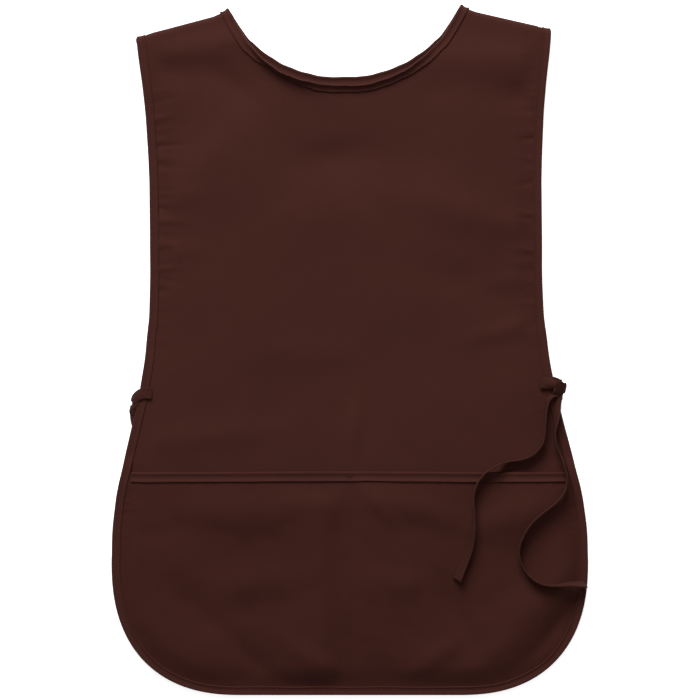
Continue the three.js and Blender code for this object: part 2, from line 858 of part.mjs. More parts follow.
// A free end of a tie: bunched where it leaves its knot, open after a few stops
function tailSolid(route, face, stepsEach) {
  const points = route.map(({ x, y, turn }, i) => {
    const width = tapeWidth * lerp(bunchedShare, 1, smoothstep(i, 0, bunchedStops));
    const angle = THREE.MathUtils.degToRad(turn);
    const half = (width * Math.cos(angle) + cloth * Math.sin(angle)) / 2;
    const z = bridged(face, x, y) + restGap + half;
    return { at: new THREE.Vector3(x, y, z), turn, width };
  });
  return tapeSolid(points, (points.length - 1) * stepsEach);
}

// A tie from its stitched end over the edge towards the knot: out from the edge,
// along towards the neck, rise over the edge, turn, share of the tape's width
function tieSolid(rows, side, level, base) {
  const points = rows.map(({ out, along, rise, turn, width }) => {
    const y = level + along;
    const x = sideEdge(y, side) + side * out;
    const rest = base(x, y, out);
    return { at: new THREE.Vector3(x, y, rest + rise), turn, width: width * tapeWidth };
  });
  return tapeSolid(points, (points.length - 1) * 2);
}

const halfLayer = restGap + cloth / 2;

function frontTieBase(level, side) {
  const edge = frontSurface(sideEdge(level, side), level) + outerFace + halfLayer;
  return (x, y, out) => (out < 0 ? bridged(topFace, x, y) + halfLayer : edge);
}

const backTieBase = () => cloth / 2;

// A tight knot of tape, as a lumpy ball
function knotSolid(side, level, sizes) {
  const { out, along, height, width, length, depth } = sizes;
  const ball = new THREE.SphereGeometry(1, knotAround, knotAround * 2 / 3);
  ball.deleteAttribute('normal');
  ball.deleteAttribute('uv');
  const geometry = mergeVertices(ball);
  const y = level + along;
  const x = sideEdge(y, side) + side * out;
  const corners = geometry.attributes.position;
  for (let i = 0; i < corners.count; i += 1) {
    const point = new THREE.Vector3().fromBufferAttribute(corners, i);
    const middle = 1 - point.y * point.y;
    const lump = 1 - knotLump * Math.cos(point.y * Math.PI * 2) * middle;
    const flat = 1 - knotFlatness * Math.abs(point.y);
    corners.setXYZ(
      i,
      x + point.x * lump * width / 2,
      y + point.y * length / 2,
      height + point.z * lump * flat * depth / 2,
    );
  }
  return facingOut(Array.from(corners.array), Array.from(geometry.index.array));
}

const leftFrontTie = [
  { out: -13.2, along: 0, rise: 0, turn: 90, width: 1 },
  { out: -9.5, along: 0, rise: 0, turn: 90, width: 1 },
  { out: -5.5, along: 0, rise: 0, turn: 90, width: 1 },
  { out: -1, along: -0.6, rise: 0.2, turn: 90, width: 0.97 },
  { out: 2.2, along: -3, rise: 0.1, turn: 90, width: 0.8 },
  { out: 4.6, along: -8.4, rise: -0.3, turn: 90, width: 0.6 },
];
const rightFrontTie = [
  { out: -14, along: 0, rise: 0, turn: 90, width: 1 },
  { out: -10, along: 0, rise: 1, turn: 90, width: 1 },
  { out: -5.5, along: 0.6, rise: 2.6, turn: 90, width: 0.96 },
  { out: -0.5, along: 0.6, rise: 4, turn: 90, width: 0.88 },
  { out: 5.5, along: -1, rise: 4, turn: 90, width: 0.75 },
];
const leftBackTie = [
  { out: -18, along: 0, rise: 0, turn: 90, width: 1 },
  { out: -9, along: 0, rise: 0, turn: 90, width: 1 },
  { out: -1, along: -2, rise: 0, turn: 90, width: 1 },
  { out: 2.6, along: -4.6, rise: 0, turn: 90, width: 0.8 },
  { out: 4.4, along: -9.5, rise: 0.2, turn: 90, width: 0.6 },
];
const rightBackTie = [
  { out: -18, along: 0, rise: 0, turn: 90, width: 1 },
  { out: -9, along: 0, rise: 0, turn: 90, width: 1 },
  { out: -1, along: 0, rise: 0, turn: 90, width: 1 },
  { out: 3, along: -0.5, rise: 0.2, turn: 90, width: 0.85 },
  { out: 6.5, along: -2, rise: 0.7, turn: 90, width: 0.7 },
];
const leftKnot = { out: 4.6, along: -14, height: 6.6, width: 8, length: 14, depth: 9 };
const rightKnot = { out: 6.6, along: -4.2, height: 7.6, width: 11.4, length: 16.5, depth: 12 };

// Colours and the finished assembly
const clothColor = 0x432621;
const bindingColor = 0x45281f;
const tapeColor = 0x3f221d;

function addPiece(group, name, geometry, color) {
  const material = new THREE.MeshStandardMaterial({ color, roughness: 0.9, metalness: 0 });
  const mesh = new THREE.Mesh(geometry, material);
  mesh.name = name;
  group.add(mesh);
}

const apron = new THREE.Group();
const body = new THREE.Group();
apron.add(body);

function addPanels() {
  const front = layCloth(cutPanel(frontNeckStations, frontCell), 1);
  const back = layCloth(cutPanel(backNeckStations, backCell), -1);
  const pocket = layCloth(cutPocket(), 1, pocketStand);
  addPiece(body, 'front_panel', front, clothColor);
  addPiece(body, 'back_panel', back, clothColor);
  addPiece(body, 'pocket_panel', pocket, clothColor);
}

function addBindings() {
  const outline = sectionOutline;
  const frontEdge = bindingRings(1, outerStations, pocketUnder);
  const backEdge = bindingRings(-1, outerStations);
  const neckFront = bindingRings(1, frontNeckStations);
  const neckBack = bindingRings(-1, backNeckStations.slice(1, -1).reverse());
  addPiece(body, 'front_edge_binding', skin(frontEdge, outline, false), bindingColor);
  addPiece(body, 'back_edge_binding', skin(backEdge, outline, false), bindingColor);
  addPiece(body, 'neck_binding', skin([...neckFront, ...neckBack], outline, true), bindingColor);
  addPiece(body, 'pocket_binding', skin(pocketBindingRings(), outline, false), bindingColor);
}

function addTies() {
  const leftBase = frontTieBase(leftTieLevel, -1);
  const rightBase = frontTieBase(rightTieLevel, 1);
  const ties = [
    ['left_front_tie', tieSolid(leftFrontTie, -1, leftTieLevel, leftBase)],
    ['right_front_tie', tieSolid(rightFrontTie, 1, rightTieLevel, rightBase)],
    ['left_back_tie', tieSolid(leftBackTie, -1, leftTieLevel, backTieBase)],
    ['right_back_tie', tieSolid(rightBackTie, 1, rightTieLevel, backTieBase)],
    ['left_knot', knotSolid(-1, leftTieLevel, leftKnot)],
    ['right_knot', knotSolid(1, rightTieLevel, rightKnot)],
    ['right_tail_a', tailSolid(rightTailA, topFace, 2)],
    ['right_tail_b', tailSolid(rightTailB, topFace, 2)],
    ['left_tail_a', tailSolid(leftTailA, backTopFace, 1)],
    ['left_tail_b', tailSolid(leftTailB, backTopFace, 1)],
  ];
  for (const [name, geometry] of ties) {
    addPiece(body, name, geometry, tapeColor);
  }
}

addPanels();
addBindings();
addTies();

// The origin is under the middle of the apron, on the surface it lies on
const laid = new THREE.Box3();
for (const mesh of body.children) {
  if (!mesh.name.includes('tail')) {
    laid.expandByObject(mesh);
  }
}
const centre = laid.getCenter(new THREE.Vector3());
body.position.set(-centre.x, -centre.y, -laid.min.z);

export default apron;
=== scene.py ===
"""Dresses a cobbler apron that lies on its back, seen from straight above.

The cloth, the folded bindings, the stitches, the tapes and the knots are built from the
same pattern as the construction: pattern coordinates in millimetres, x across from the
middle and y up from the hem, laid in space by a few height functions.
"""
import logging
import math
from dataclasses import dataclass, field
from enum import Enum
from typing import Callable, Sequence

import bpy
import numpy as np
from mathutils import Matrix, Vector


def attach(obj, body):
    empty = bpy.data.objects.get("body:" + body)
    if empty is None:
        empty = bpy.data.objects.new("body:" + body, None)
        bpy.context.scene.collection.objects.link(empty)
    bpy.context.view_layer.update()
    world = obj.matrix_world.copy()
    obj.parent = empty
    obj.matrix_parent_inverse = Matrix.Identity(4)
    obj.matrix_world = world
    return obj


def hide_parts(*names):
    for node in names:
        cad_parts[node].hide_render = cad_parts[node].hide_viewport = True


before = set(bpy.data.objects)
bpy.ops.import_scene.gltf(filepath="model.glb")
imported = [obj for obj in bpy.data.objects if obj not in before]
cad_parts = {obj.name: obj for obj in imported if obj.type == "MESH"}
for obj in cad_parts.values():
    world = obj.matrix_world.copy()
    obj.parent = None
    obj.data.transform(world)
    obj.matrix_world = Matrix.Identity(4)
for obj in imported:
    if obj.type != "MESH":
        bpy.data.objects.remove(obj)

LOG = logging.getLogger("apron")
MM = 0.001
UP = (0.0, 0.0, 1.0)
# Places measured at one time, and a length that can be divided by
AT_ONCE, TINY = 4000, 1e-12
Array = np.ndarray
Face = Callable[[Array, Array], Array]
Socket = bpy.types.NodeSocket


class Slot(Enum):
    """Material slots of the record."""

    CLOTH = "cloth"
    BINDING = "binding"
    TAPE = "tape"


@dataclass(frozen=True)
class Sizes:
    """Driving sizes of the apron in millimetres, the construction's own."""

    length: float = 711
    hip_width: float = 491
    chest_width: float = 404
    shoulder_width: float = 427
    hip_level: float = 139
    chest_level: float = 468
    yoke_level: float = 530
    corner_run: float = 134
    corner_roundness: float = 2.4
    chest_lean: float = -3.9
    shoulder_lean: float = -6.4
    left_drop: float = 29.4
    right_drop: float = 24.9
    tilt: float = 3.9
    neck_width: float = 240
    neck_lean: float = -5.4
    front_neck: float = 80
    back_neck: float = 70
    fold_height: float = 11.2
    cloth: float = 1
    clearance: float = 0.3
    binding: float = 9.5
    under_binding: float = 11.5
    pocket_binding: float = 10.8
    front_height: float = 13.5
    front_rise: float = 110
    back_settle: float = 85
    shoulder_spread: float = 130
    dent_fade: float = 60
    rest_gap: float = 0.6
    pocket_depth: float = 231
    pocket_mouth: float = 5
    pocket_ease: float = 0.4
    mouth_reach: float = 75
    top_release: float = 35
    pocket_ramp: float = 20
    tape: float = 12
    left_tie: float = 311
    right_tie: float = 322
    tape_flat: float = 16
    tape_fade: float = 70
    slot_level: float = 276
    slot_half: float = 24
    bunched_share: float = 0.38
    bunched_stops: int = 4
    tail_thick: float = 1.6
    rim_drop: float = 31
    rim_share: float = 0.56

    @property
    def inner_face(self) -> float:
        """How far the inside of a binding lies from the middle of the cloth."""
        return self.cloth / 2 + self.clearance

    @property
    def outer_face(self) -> float:
        """How far the outside of a binding lies from the middle of the cloth."""
        return self.inner_face + self.cloth

    @property
    def layer(self) -> float:
        """One layer of cloth and its gap."""
        return self.cloth + self.clearance

    @property
    def fold_radius(self) -> float:
        """Radius of the fold over the shoulders."""
        return self.fold_height / 2

    @property
    def fold_arc(self) -> float:
        """Quarter of a turn of the shoulder fold."""
        return self.fold_radius * math.pi / 2

    @property
    def fold_centre(self) -> float:
        """Height of the axis of the shoulder fold."""
        return self.outer_face + self.fold_radius

    @property
    def front_edge(self) -> float:
        """Height at which the edge of the front lies on that of the back."""
        return self.outer_face * 3 + self.clearance


# Cloth below the chest widens to the hips: drop from chest to hip, share of the widening
FLARE = (
    (0, 0), (0.18, 0.015), (0.3, 0.09), (0.44, 0.24), (0.56, 0.44), (0.7, 0.7), (0.85, 0.93),
    (1, 1),
)
# Above the yoke it widens again to the shoulder: rise, share of the widening
YOKE = ((0, 0), (0.3, 0.16), (0.6, 0.43), (0.85, 0.81), (1, 1))
# Shoulder line from the neck outwards: share of its width, share of its drop
SHOULDER = ((0, 0), (0.16, 0.23), (0.7, 0.69), (0.82, 0.79), (1, 1))
# Neckline from the middle outwards: share of the half width, share of the depth
NECK = (
    (0, 1), (0.15, 0.995), (0.3, 0.947), (0.46, 0.858), (0.61, 0.728), (0.78, 0.51), (0.87, 0.34),
    (1, 0),
)


@dataclass(frozen=True)
class Fold:
    """One soft fold or dent: place in shares of half width and length, turn in degrees,
    spread in shares of the length, height in shares of the height that the front lies at."""

    x: float
    y: float
    turn: float
    along: float
    across: float
    height: float


# The folds that the construction has too
MAIN_FOLDS = (
    Fold(-0.02, 0.79, 0, 0.09, 0.035, -0.2),
    Fold(-0.57, 0.91, 60, 0.06, 0.03, -0.12),
    Fold(0.62, 0.85, 100, 0.09, 0.04, 0.12),
    Fold(-0.4, 0.68, 80, 0.12, 0.06, 0.14),
    Fold(0.2, 0.62, -35, 0.16, 0.045, 0.12),
    Fold(-0.1, 0.46, 10, 0.18, 0.05, -0.13),
    Fold(0.5, 0.42, -20, 0.12, 0.045, 0.1),
    Fold(0.22, 0.24, -55, 0.1, 0.035, 0.14),
    Fold(-0.45, 0.17, 20, 0.12, 0.05, -0.12),
    Fold(0.78, 0.13, -50, 0.05, 0.03, -0.2),
)
# Slighter and sharper ones that only the eye needs
SOFT_FOLDS = (
    # The dimple under the neck and the creases that run out from it
    Fold(-0.07, 0.779, 3, 0.036, 0.021, -0.3),
    Fold(-0.07, 0.806, 3, 0.04, 0.016, 0.1),
    Fold(-0.28, 0.912, -34, 0.045, 0.012, 0.36),
    Fold(0.46, 0.705, -15, 0.07, 0.021, 0.27),
    Fold(0.5, 0.675, -15, 0.08, 0.032, 0.17),
    Fold(0.68, 0.68, -14, 0.035, 0.013, 0.14),
    Fold(-0.58, 0.785, 42, 0.06, 0.02, 0.25),
    Fold(-0.5, 0.755, 42, 0.07, 0.032, 0.22),
    Fold(-0.12, 0.695, 8, 0.05, 0.022, 0.14),
    # Shoulders
    Fold(-0.75, 0.905, -5, 0.042, 0.016, -0.34),
    Fold(-0.66, 0.95, 6, 0.1, 0.032, 0.34),
    Fold(0.56, 0.918, -3, 0.07, 0.019, 0.33),
    Fold(0.74, 0.865, -8, 0.028, 0.014, -0.32),
    Fold(-0.5, 0.885, -42, 0.035, 0.015, -0.24),
    # Chest and waist
    Fold(-0.74, 0.64, 8, 0.035, 0.012, 0.16),
    Fold(-0.72, 0.72, 10, 0.03, 0.011, 0.12),
    Fold(-0.16, 0.495, 0, 0.045, 0.018, 0.16),
    Fold(0.45, 0.6, -14, 0.07, 0.018, -0.16),
    Fold(0.66, 0.53, 14, 0.04, 0.01, 0.18),
    Fold(0.68, 0.6, 8, 0.03, 0.01, 0.12),
    Fold(0.015, 0.385, 86, 0.03, 0.009, 0.24),
    Fold(-0.6, 0.375, 6, 0.06, 0.014, 0.18),
    Fold(-0.34, 0.41, 78, 0.05, 0.016, -0.1),
    # Pocket
    Fold(-0.36, 0.27, 2, 0.085, 0.017, 0.28),
    Fold(0.27, 0.272, -14, 0.05, 0.014, 0.3),
    Fold(0.1, 0.285, -50, 0.03, 0.008, 0.16),
    Fold(-0.43, 0.165, 8, 0.045, 0.016, 0.2),
    Fold(-0.32, 0.13, 20, 0.05, 0.018, -0.14),
    Fold(0.2, 0.165, -8, 0.035, 0.014, 0.2),
    Fold(0.72, 0.262, 14, 0.045, 0.018, 0.36),
    Fold(-0.82, 0.235, 12, 0.035, 0.012, -0.1),
    Fold(-0.62, 0.12, -38, 0.05, 0.014, -0.16),
    Fold(0.46, 0.11, -62, 0.05, 0.016, -0.34),
    Fold(0.8, 0.137, 42, 0.05, 0.022, 0.56),
    Fold(0.89, 0.088, 46, 0.055, 0.02, -0.56),
    Fold(0.35, 0.055, 35, 0.03, 0.01, 0.22),
    Fold(0.6, 0.06, 30, 0.03, 0.012, 0.18),
    Fold(-0.15, 0.052, -30, 0.03, 0.01, 0.2),
    Fold(-0.4, 0.05, -40, 0.03, 0.011, -0.16),
)


def smooth(value: Array | float, low: float, high: float) -> Array:
    """Eases from 0 at low to 1 at high.

    Args:
        value: what is eased.
        low: where the rise starts.
        high: where it ends.

    Returns:
        The eased share.
    """
    t = np.clip((np.asarray(value, dtype=float) - low) / (high - low), 0, 1)
    return t * t * (3 - 2 * t)


def bell(value: Array, middle: float, spread: float) -> Array:
    """A bell curve that is 1 in the middle."""
    return np.exp(-(((value - middle) / spread) ** 2))


def lerp(a: Array | float, b: Array | float, t: Array | float) -> Array | float:
    """Straight blend from a to b."""
    return a + (b - a) * t


def read_table(rows: Sequence[tuple[float, float]], at: Array) -> Array:
    """Reads a smooth curve out of a table whose first column rises.

    Args:
        rows: the table's rows.
        at: places on its first column.

    Returns:
        The values of its second column.
    """
    xs = np.array([row[0] for row in rows], dtype=float)
    ys = np.array([row[1] for row in rows], dtype=float)
    low = np.maximum(np.arange(len(rows)) - 1, 0)
    high = np.minimum(np.arange(len(rows)) + 1, len(rows) - 1)
    slope = (ys[high] - ys[low]) / (xs[high] - xs[low])
    x = np.clip(at, xs[0], xs[-1])
    i = np.clip(np.searchsorted(xs, x, side="left") - 1, 0, len(rows) - 2)
    span = xs[i + 1] - xs[i]
    t = (x - xs[i]) / span
    start = ys[i] + slope[i] * span * t
    end = ys[i + 1] - slope[i + 1] * span * (1 - t)
    return lerp(start, end, t * t * (3 - 2 * t))


class Waves:
    """Soft seeded noise: a sum of cosines of one band of wavelengths."""

    BAND = (0.7, 1.5)
    LOUDEST = 1.6

    def __init__(self, seed: int, wavelength: float, count: int = 18) -> None:
        """Picks the waves' directions, lengths and phases.

        Args:
            seed: seed of the draws.
            wavelength: middle wavelength in millimetres.
            count: number of waves.
        """
        rng = np.random.default_rng(seed)
        angle = rng.uniform(0, 2 * math.pi, count)
        number = 2 * math.pi / (wavelength * rng.uniform(*self.BAND, count))
        self.kx = number * np.cos(angle)
        self.ky = number * np.sin(angle)
        self.phase = rng.uniform(0, 2 * math.pi, count)

    def read(self, x: Array, y: Array | float = 0.0) -> Array:
        """Value at some places, mostly between -1 and 1.

        Args:
            x: places across, in millimetres.
            y: places up, in millimetres.

        Returns:
            The values.
        """
        total = np.zeros(np.broadcast(x, y).shape)
        for kx, ky, phase in zip(self.kx, self.ky, self.phase):
            total += np.cos(kx * x + ky * y + phase)
        return total * math.sqrt(2 / len(self.kx)) / self.LOUDEST


class Pattern:
    """The flat pattern: the shoulders, the outline, the neckline and the pocket's top."""

    FOLD_POINTS, SIDE_POINTS, CORNER_POINTS, HEM_POINTS, NECK_POINTS = 6, 140, 64, 60, 401
    NECK_STEP = 2.0

    def __init__(self, size: Sizes) -> None:
        """Works out the outline and the necklines once.

        Args:
            size: the apron's sizes.
        """
        self.size = size
        self.outline = self.outer_path()
        self.front_neck = self.neck_path(size.front_neck)
        self.back_neck = self.neck_path(size.back_neck)

    def shoulder(self, side: int) -> tuple[float, float, float, float]:
        """Neck tip x, corner x, tip y and drop of one shoulder.

        Args:
            side: -1 for the left side, 1 for the right one.

        Returns:
            The four lengths in millimetres.
        """
        s = self.size
        tip = s.neck_lean + side * s.neck_width / 2
        corner = s.shoulder_lean + side * s.shoulder_width / 2
        top = s.length - s.outer_face - (s.tilt if side < 0 else 0)
        return tip, corner, top, s.left_drop if side < 0 else s.right_drop

    def shoulder_line(self, x: Array) -> Array:
        """The line along which the cloth folds over the shoulders.

        Args:
            x: places across, in millimetres.

        Returns:
            The line's levels.
        """
        rows = np.array(SHOULDER)
        left, right = self.shoulder(-1), self.shoulder(1)
        between = lerp(left[2], right[2], (x - left[0]) / (right[0] - left[0]))
        sides = []
        for tip, corner, top, drop in (left, right):
            out = np.clip((x - tip) / (corner - tip), 0, None)
            table = np.interp(out, rows[:, 0], rows[:, 1])
            sides.append(top - drop * table)
        return np.where(x <= left[0], sides[0], np.where(x >= right[0], sides[1], between))

    def seam_line(self, x: Array) -> Array:
        """The shoulder seam, where the cloth is unrolled from its fold."""
        return self.shoulder_line(x) + self.size.fold_arc - self.size.fold_radius

    def side_edge(self, y: Array, side: int) -> Array:
        """Outer edge of one side at some levels.

        Args:
            y: places up, in millimetres.
            side: -1 for the left side, 1 for the right one.

        Returns:
            The edge's places across.
        """
        s = self.size
        hip, chest = s.hip_width / 2, s.chest_width / 2
        _, _, tip_y, drop = self.shoulder(side)
        flare = read_table(FLARE, (s.chest_level - y) / (s.chest_level - s.hip_level))
        rise = read_table(YOKE, (y - s.yoke_level) / (tip_y - drop - s.yoke_level))
        upper = chest + (s.shoulder_width / 2 - chest) * rise
        middle = np.where(y < s.chest_level, chest + (hip - chest) * flare, upper)
        half = np.where(y < s.hip_level, hip, middle)
        low = s.chest_lean * smooth(y, s.hip_level, s.chest_level)
        share = np.clip((y - s.chest_level) / (s.length - s.chest_level), 0, 1)
        lean = np.where(y < s.chest_level, low, lerp(s.chest_lean, s.shoulder_lean, share))
        return lean + side * half

    def side_path(self, side: int) -> Array:
        """One side of the outline from the shoulder seam down to the hem.

        Args:
            side: -1 for the left side, 1 for the right one.

        Returns:
            Points on the pattern.
        """
        s = self.size
        _, corner, _, _ = self.shoulder(side)
        top = float(self.seam_line(np.array(corner)))
        fold = np.linspace(top, top - s.fold_arc, self.FOLD_POINTS)[:-1]
        ys = np.linspace(top - s.fold_arc, s.hip_level, self.SIDE_POINTS)
        angle = np.linspace(0, math.pi / 2, self.CORNER_POINTS)[1:]
        power = 2 / s.corner_roundness
        out = s.hip_width / 2 - s.corner_run + s.corner_run * np.cos(angle).clip(0) ** power
        xs = np.concatenate([np.full(len(fold), corner), self.side_edge(ys, side), side * out])
        levels = np.concatenate([fold, ys, s.hip_level * (1 - np.sin(angle) ** power)])
        return np.stack([xs, levels], axis=1)

    def outer_path(self) -> Array:
        """The whole outer edge, from the left shoulder round the hem to the right one.

        Returns:
            Points on the pattern.
        """
        left, right = self.side_path(-1), self.side_path(1)[::-1]
        hem = np.linspace(left[-1, 0], right[0, 0], self.HEM_POINTS)[1:-1]
        return np.concatenate([left, np.stack([hem, np.zeros_like(hem)], axis=1), right])

    def neck_path(self, depth: float) -> Array:
        """The neckline of one panel, from the left shoulder seam to the right one.

        Args:
            depth: depth of the neckline.

        Returns:
            Points on the pattern.
        """
        s = self.size
        left, right = self.shoulder(-1), self.shoulder(1)
        share = np.linspace(0, 1, self.NECK_POINTS)
        across = lerp(-1, 1, share)
        x = s.neck_lean + across * s.neck_width / 2
        ends = [float(self.seam_line(np.array(end[0]))) for end in (left, right)]
        drop = read_table(NECK, np.abs(across))
        slack = s.fold_arc - s.fold_radius
        y = lerp(ends[0], ends[1], share) - (depth + slack) * drop
        return resample(np.stack([x, y], axis=1), self.NECK_STEP)

    def pocket_top(self, x: Array) -> Array:
        """The pocket's top edge."""
        s = self.size
        return s.pocket_depth - s.cloth * smooth(np.abs(x), 0, s.hip_width / 2)


def arc_lengths(path: Array) -> Array:
    """How far along a polyline each of its points is."""
    return np.concatenate([[0], np.cumsum(np.linalg.norm(np.diff(path, axis=0), axis=1))])


def even(path: Array, count: int) -> Array:
    """Divides a polyline into a number of evenly placed points.

    Args:
        path: the polyline.
        count: number of points.

    Returns:
        The new points.
    """
    lengths = arc_lengths(path)
    at = np.linspace(0, lengths[-1], count)
    return np.stack([np.interp(at, lengths, column) for column in path.T], axis=1)


def resample(path: Array, step: float) -> Array:
    """Divides a polyline evenly, with its points about a step apart."""
    return even(path, max(2, int(round(arc_lengths(path)[-1] / step)) + 1))


def unit(vectors: Array) -> Array:
    """Vectors in the last axis, each made one long."""
    return vectors / np.linalg.norm(vectors, axis=-1, keepdims=True)


def inwards(path: Array, turn: int) -> Array:
    """Directions square to a path, to one side of it."""
    along = unit(np.gradient(path, axis=0))
    return np.stack([-along[:, 1], along[:, 0]], axis=1) * turn


def nearest(path: Array, x: Array, y: Array) -> tuple[Array, Array]:
    """Distance to a polyline, and how far along it the nearest place is.

    Args:
        path: the polyline's points.
        x: places across, flat.
        y: places up, flat.

    Returns:
        The distances and the lengths along the path.
    """
    a, d = path[:-1], np.diff(path, axis=0)
    length = np.linalg.norm(d, axis=1)
    start = arc_lengths(path)[:-1]
    away, along = np.empty(x.size), np.empty(x.size)
    for first in range(0, x.size, AT_ONCE):
        part = slice(first, first + AT_ONCE)
        px, py = x[part, None] - a[None, :, 0], y[part, None] - a[None, :, 1]
        t = np.clip((px * d[:, 0] + py * d[:, 1]) / np.maximum(length**2, TINY), 0, 1)
        gap = np.hypot(px - t * d[:, 0], py - t * d[:, 1])
        best = gap.argmin(axis=1)
        rows = np.arange(best.size)
        away[part] = gap[rows, best]
        along[part] = start[best] + t[rows, best] * length[best]
    return away, along


class HeightMap:
    """Heights on a fine grid, read anywhere in between."""

    STEP = 2.0
    LEFT, BOTTOM = -262.0, -14.0
    WIDE, DEEP = 263, 374

    def __init__(self, values: Array) -> None:
        """Keeps the values and their slopes."""
        self.values = values
        self.slope_y, self.slope_x = np.gradient(values, self.STEP)

    @classmethod
    def places(cls) -> tuple[Array, Array]:
        """The grid's places, across and up.

        Returns:
            The places across, and the places up.
        """
        xs = cls.LEFT + np.arange(cls.WIDE) * cls.STEP
        ys = cls.BOTTOM + np.arange(cls.DEEP) * cls.STEP
        return np.meshgrid(xs, ys)

    def blend(self, values: Array, x: Array, y: Array) -> Array:
        """Values between the grid's places.

        Args:
            values: values at the grid's places.
            x: places across, in millimetres.
            y: places up, in millimetres.

        Returns:
            The values.
        """
        u = np.clip((x - self.LEFT) / self.STEP, 0, self.WIDE - 1.001)
        v = np.clip((y - self.BOTTOM) / self.STEP, 0, self.DEEP - 1.001)
        i, j = u.astype(int), v.astype(int)
        u, v = u - i, v - j
        low = lerp(values[j, i], values[j, i + 1], u)
        high = lerp(values[j + 1, i], values[j + 1, i + 1], u)
        return lerp(low, high, v)

    def read(self, x: Array, y: Array) -> Array:
        """Heights at some places."""
        return self.blend(self.values, x, y)

    def slopes(self, x: Array, y: Array) -> tuple[Array, Array]:
        """Slopes across and up at some places."""
        return self.blend(self.slope_x, x, y), self.blend(self.slope_y, x, y)


def relief(folds: Sequence[Fold], size: Sizes, x: Array, y: Array) -> Array:
    """Sum of some folds, in millimetres.

    Args:
        folds: the folds.
        size: the half width and the length that they are shares of.
        x: places across, in millimetres.
        y: places up, in millimetres.

    Returns:
        Heights in millimetres.
    """
    total = np.zeros_like(x)
    for fold in folds:
        turn = math.radians(fold.turn)
        dx = x - fold.x * size.hip_width / 2
        dy = y - fold.y * size.length
        along = (dx * math.cos(turn) + dy * math.sin(turn)) / (fold.along * size.length)
        across = (dy * math.cos(turn) - dx * math.sin(turn)) / (fold.across * size.length)
        total += fold.height * np.exp(-(along**2 + across**2) / 2)
    return total * size.front_height


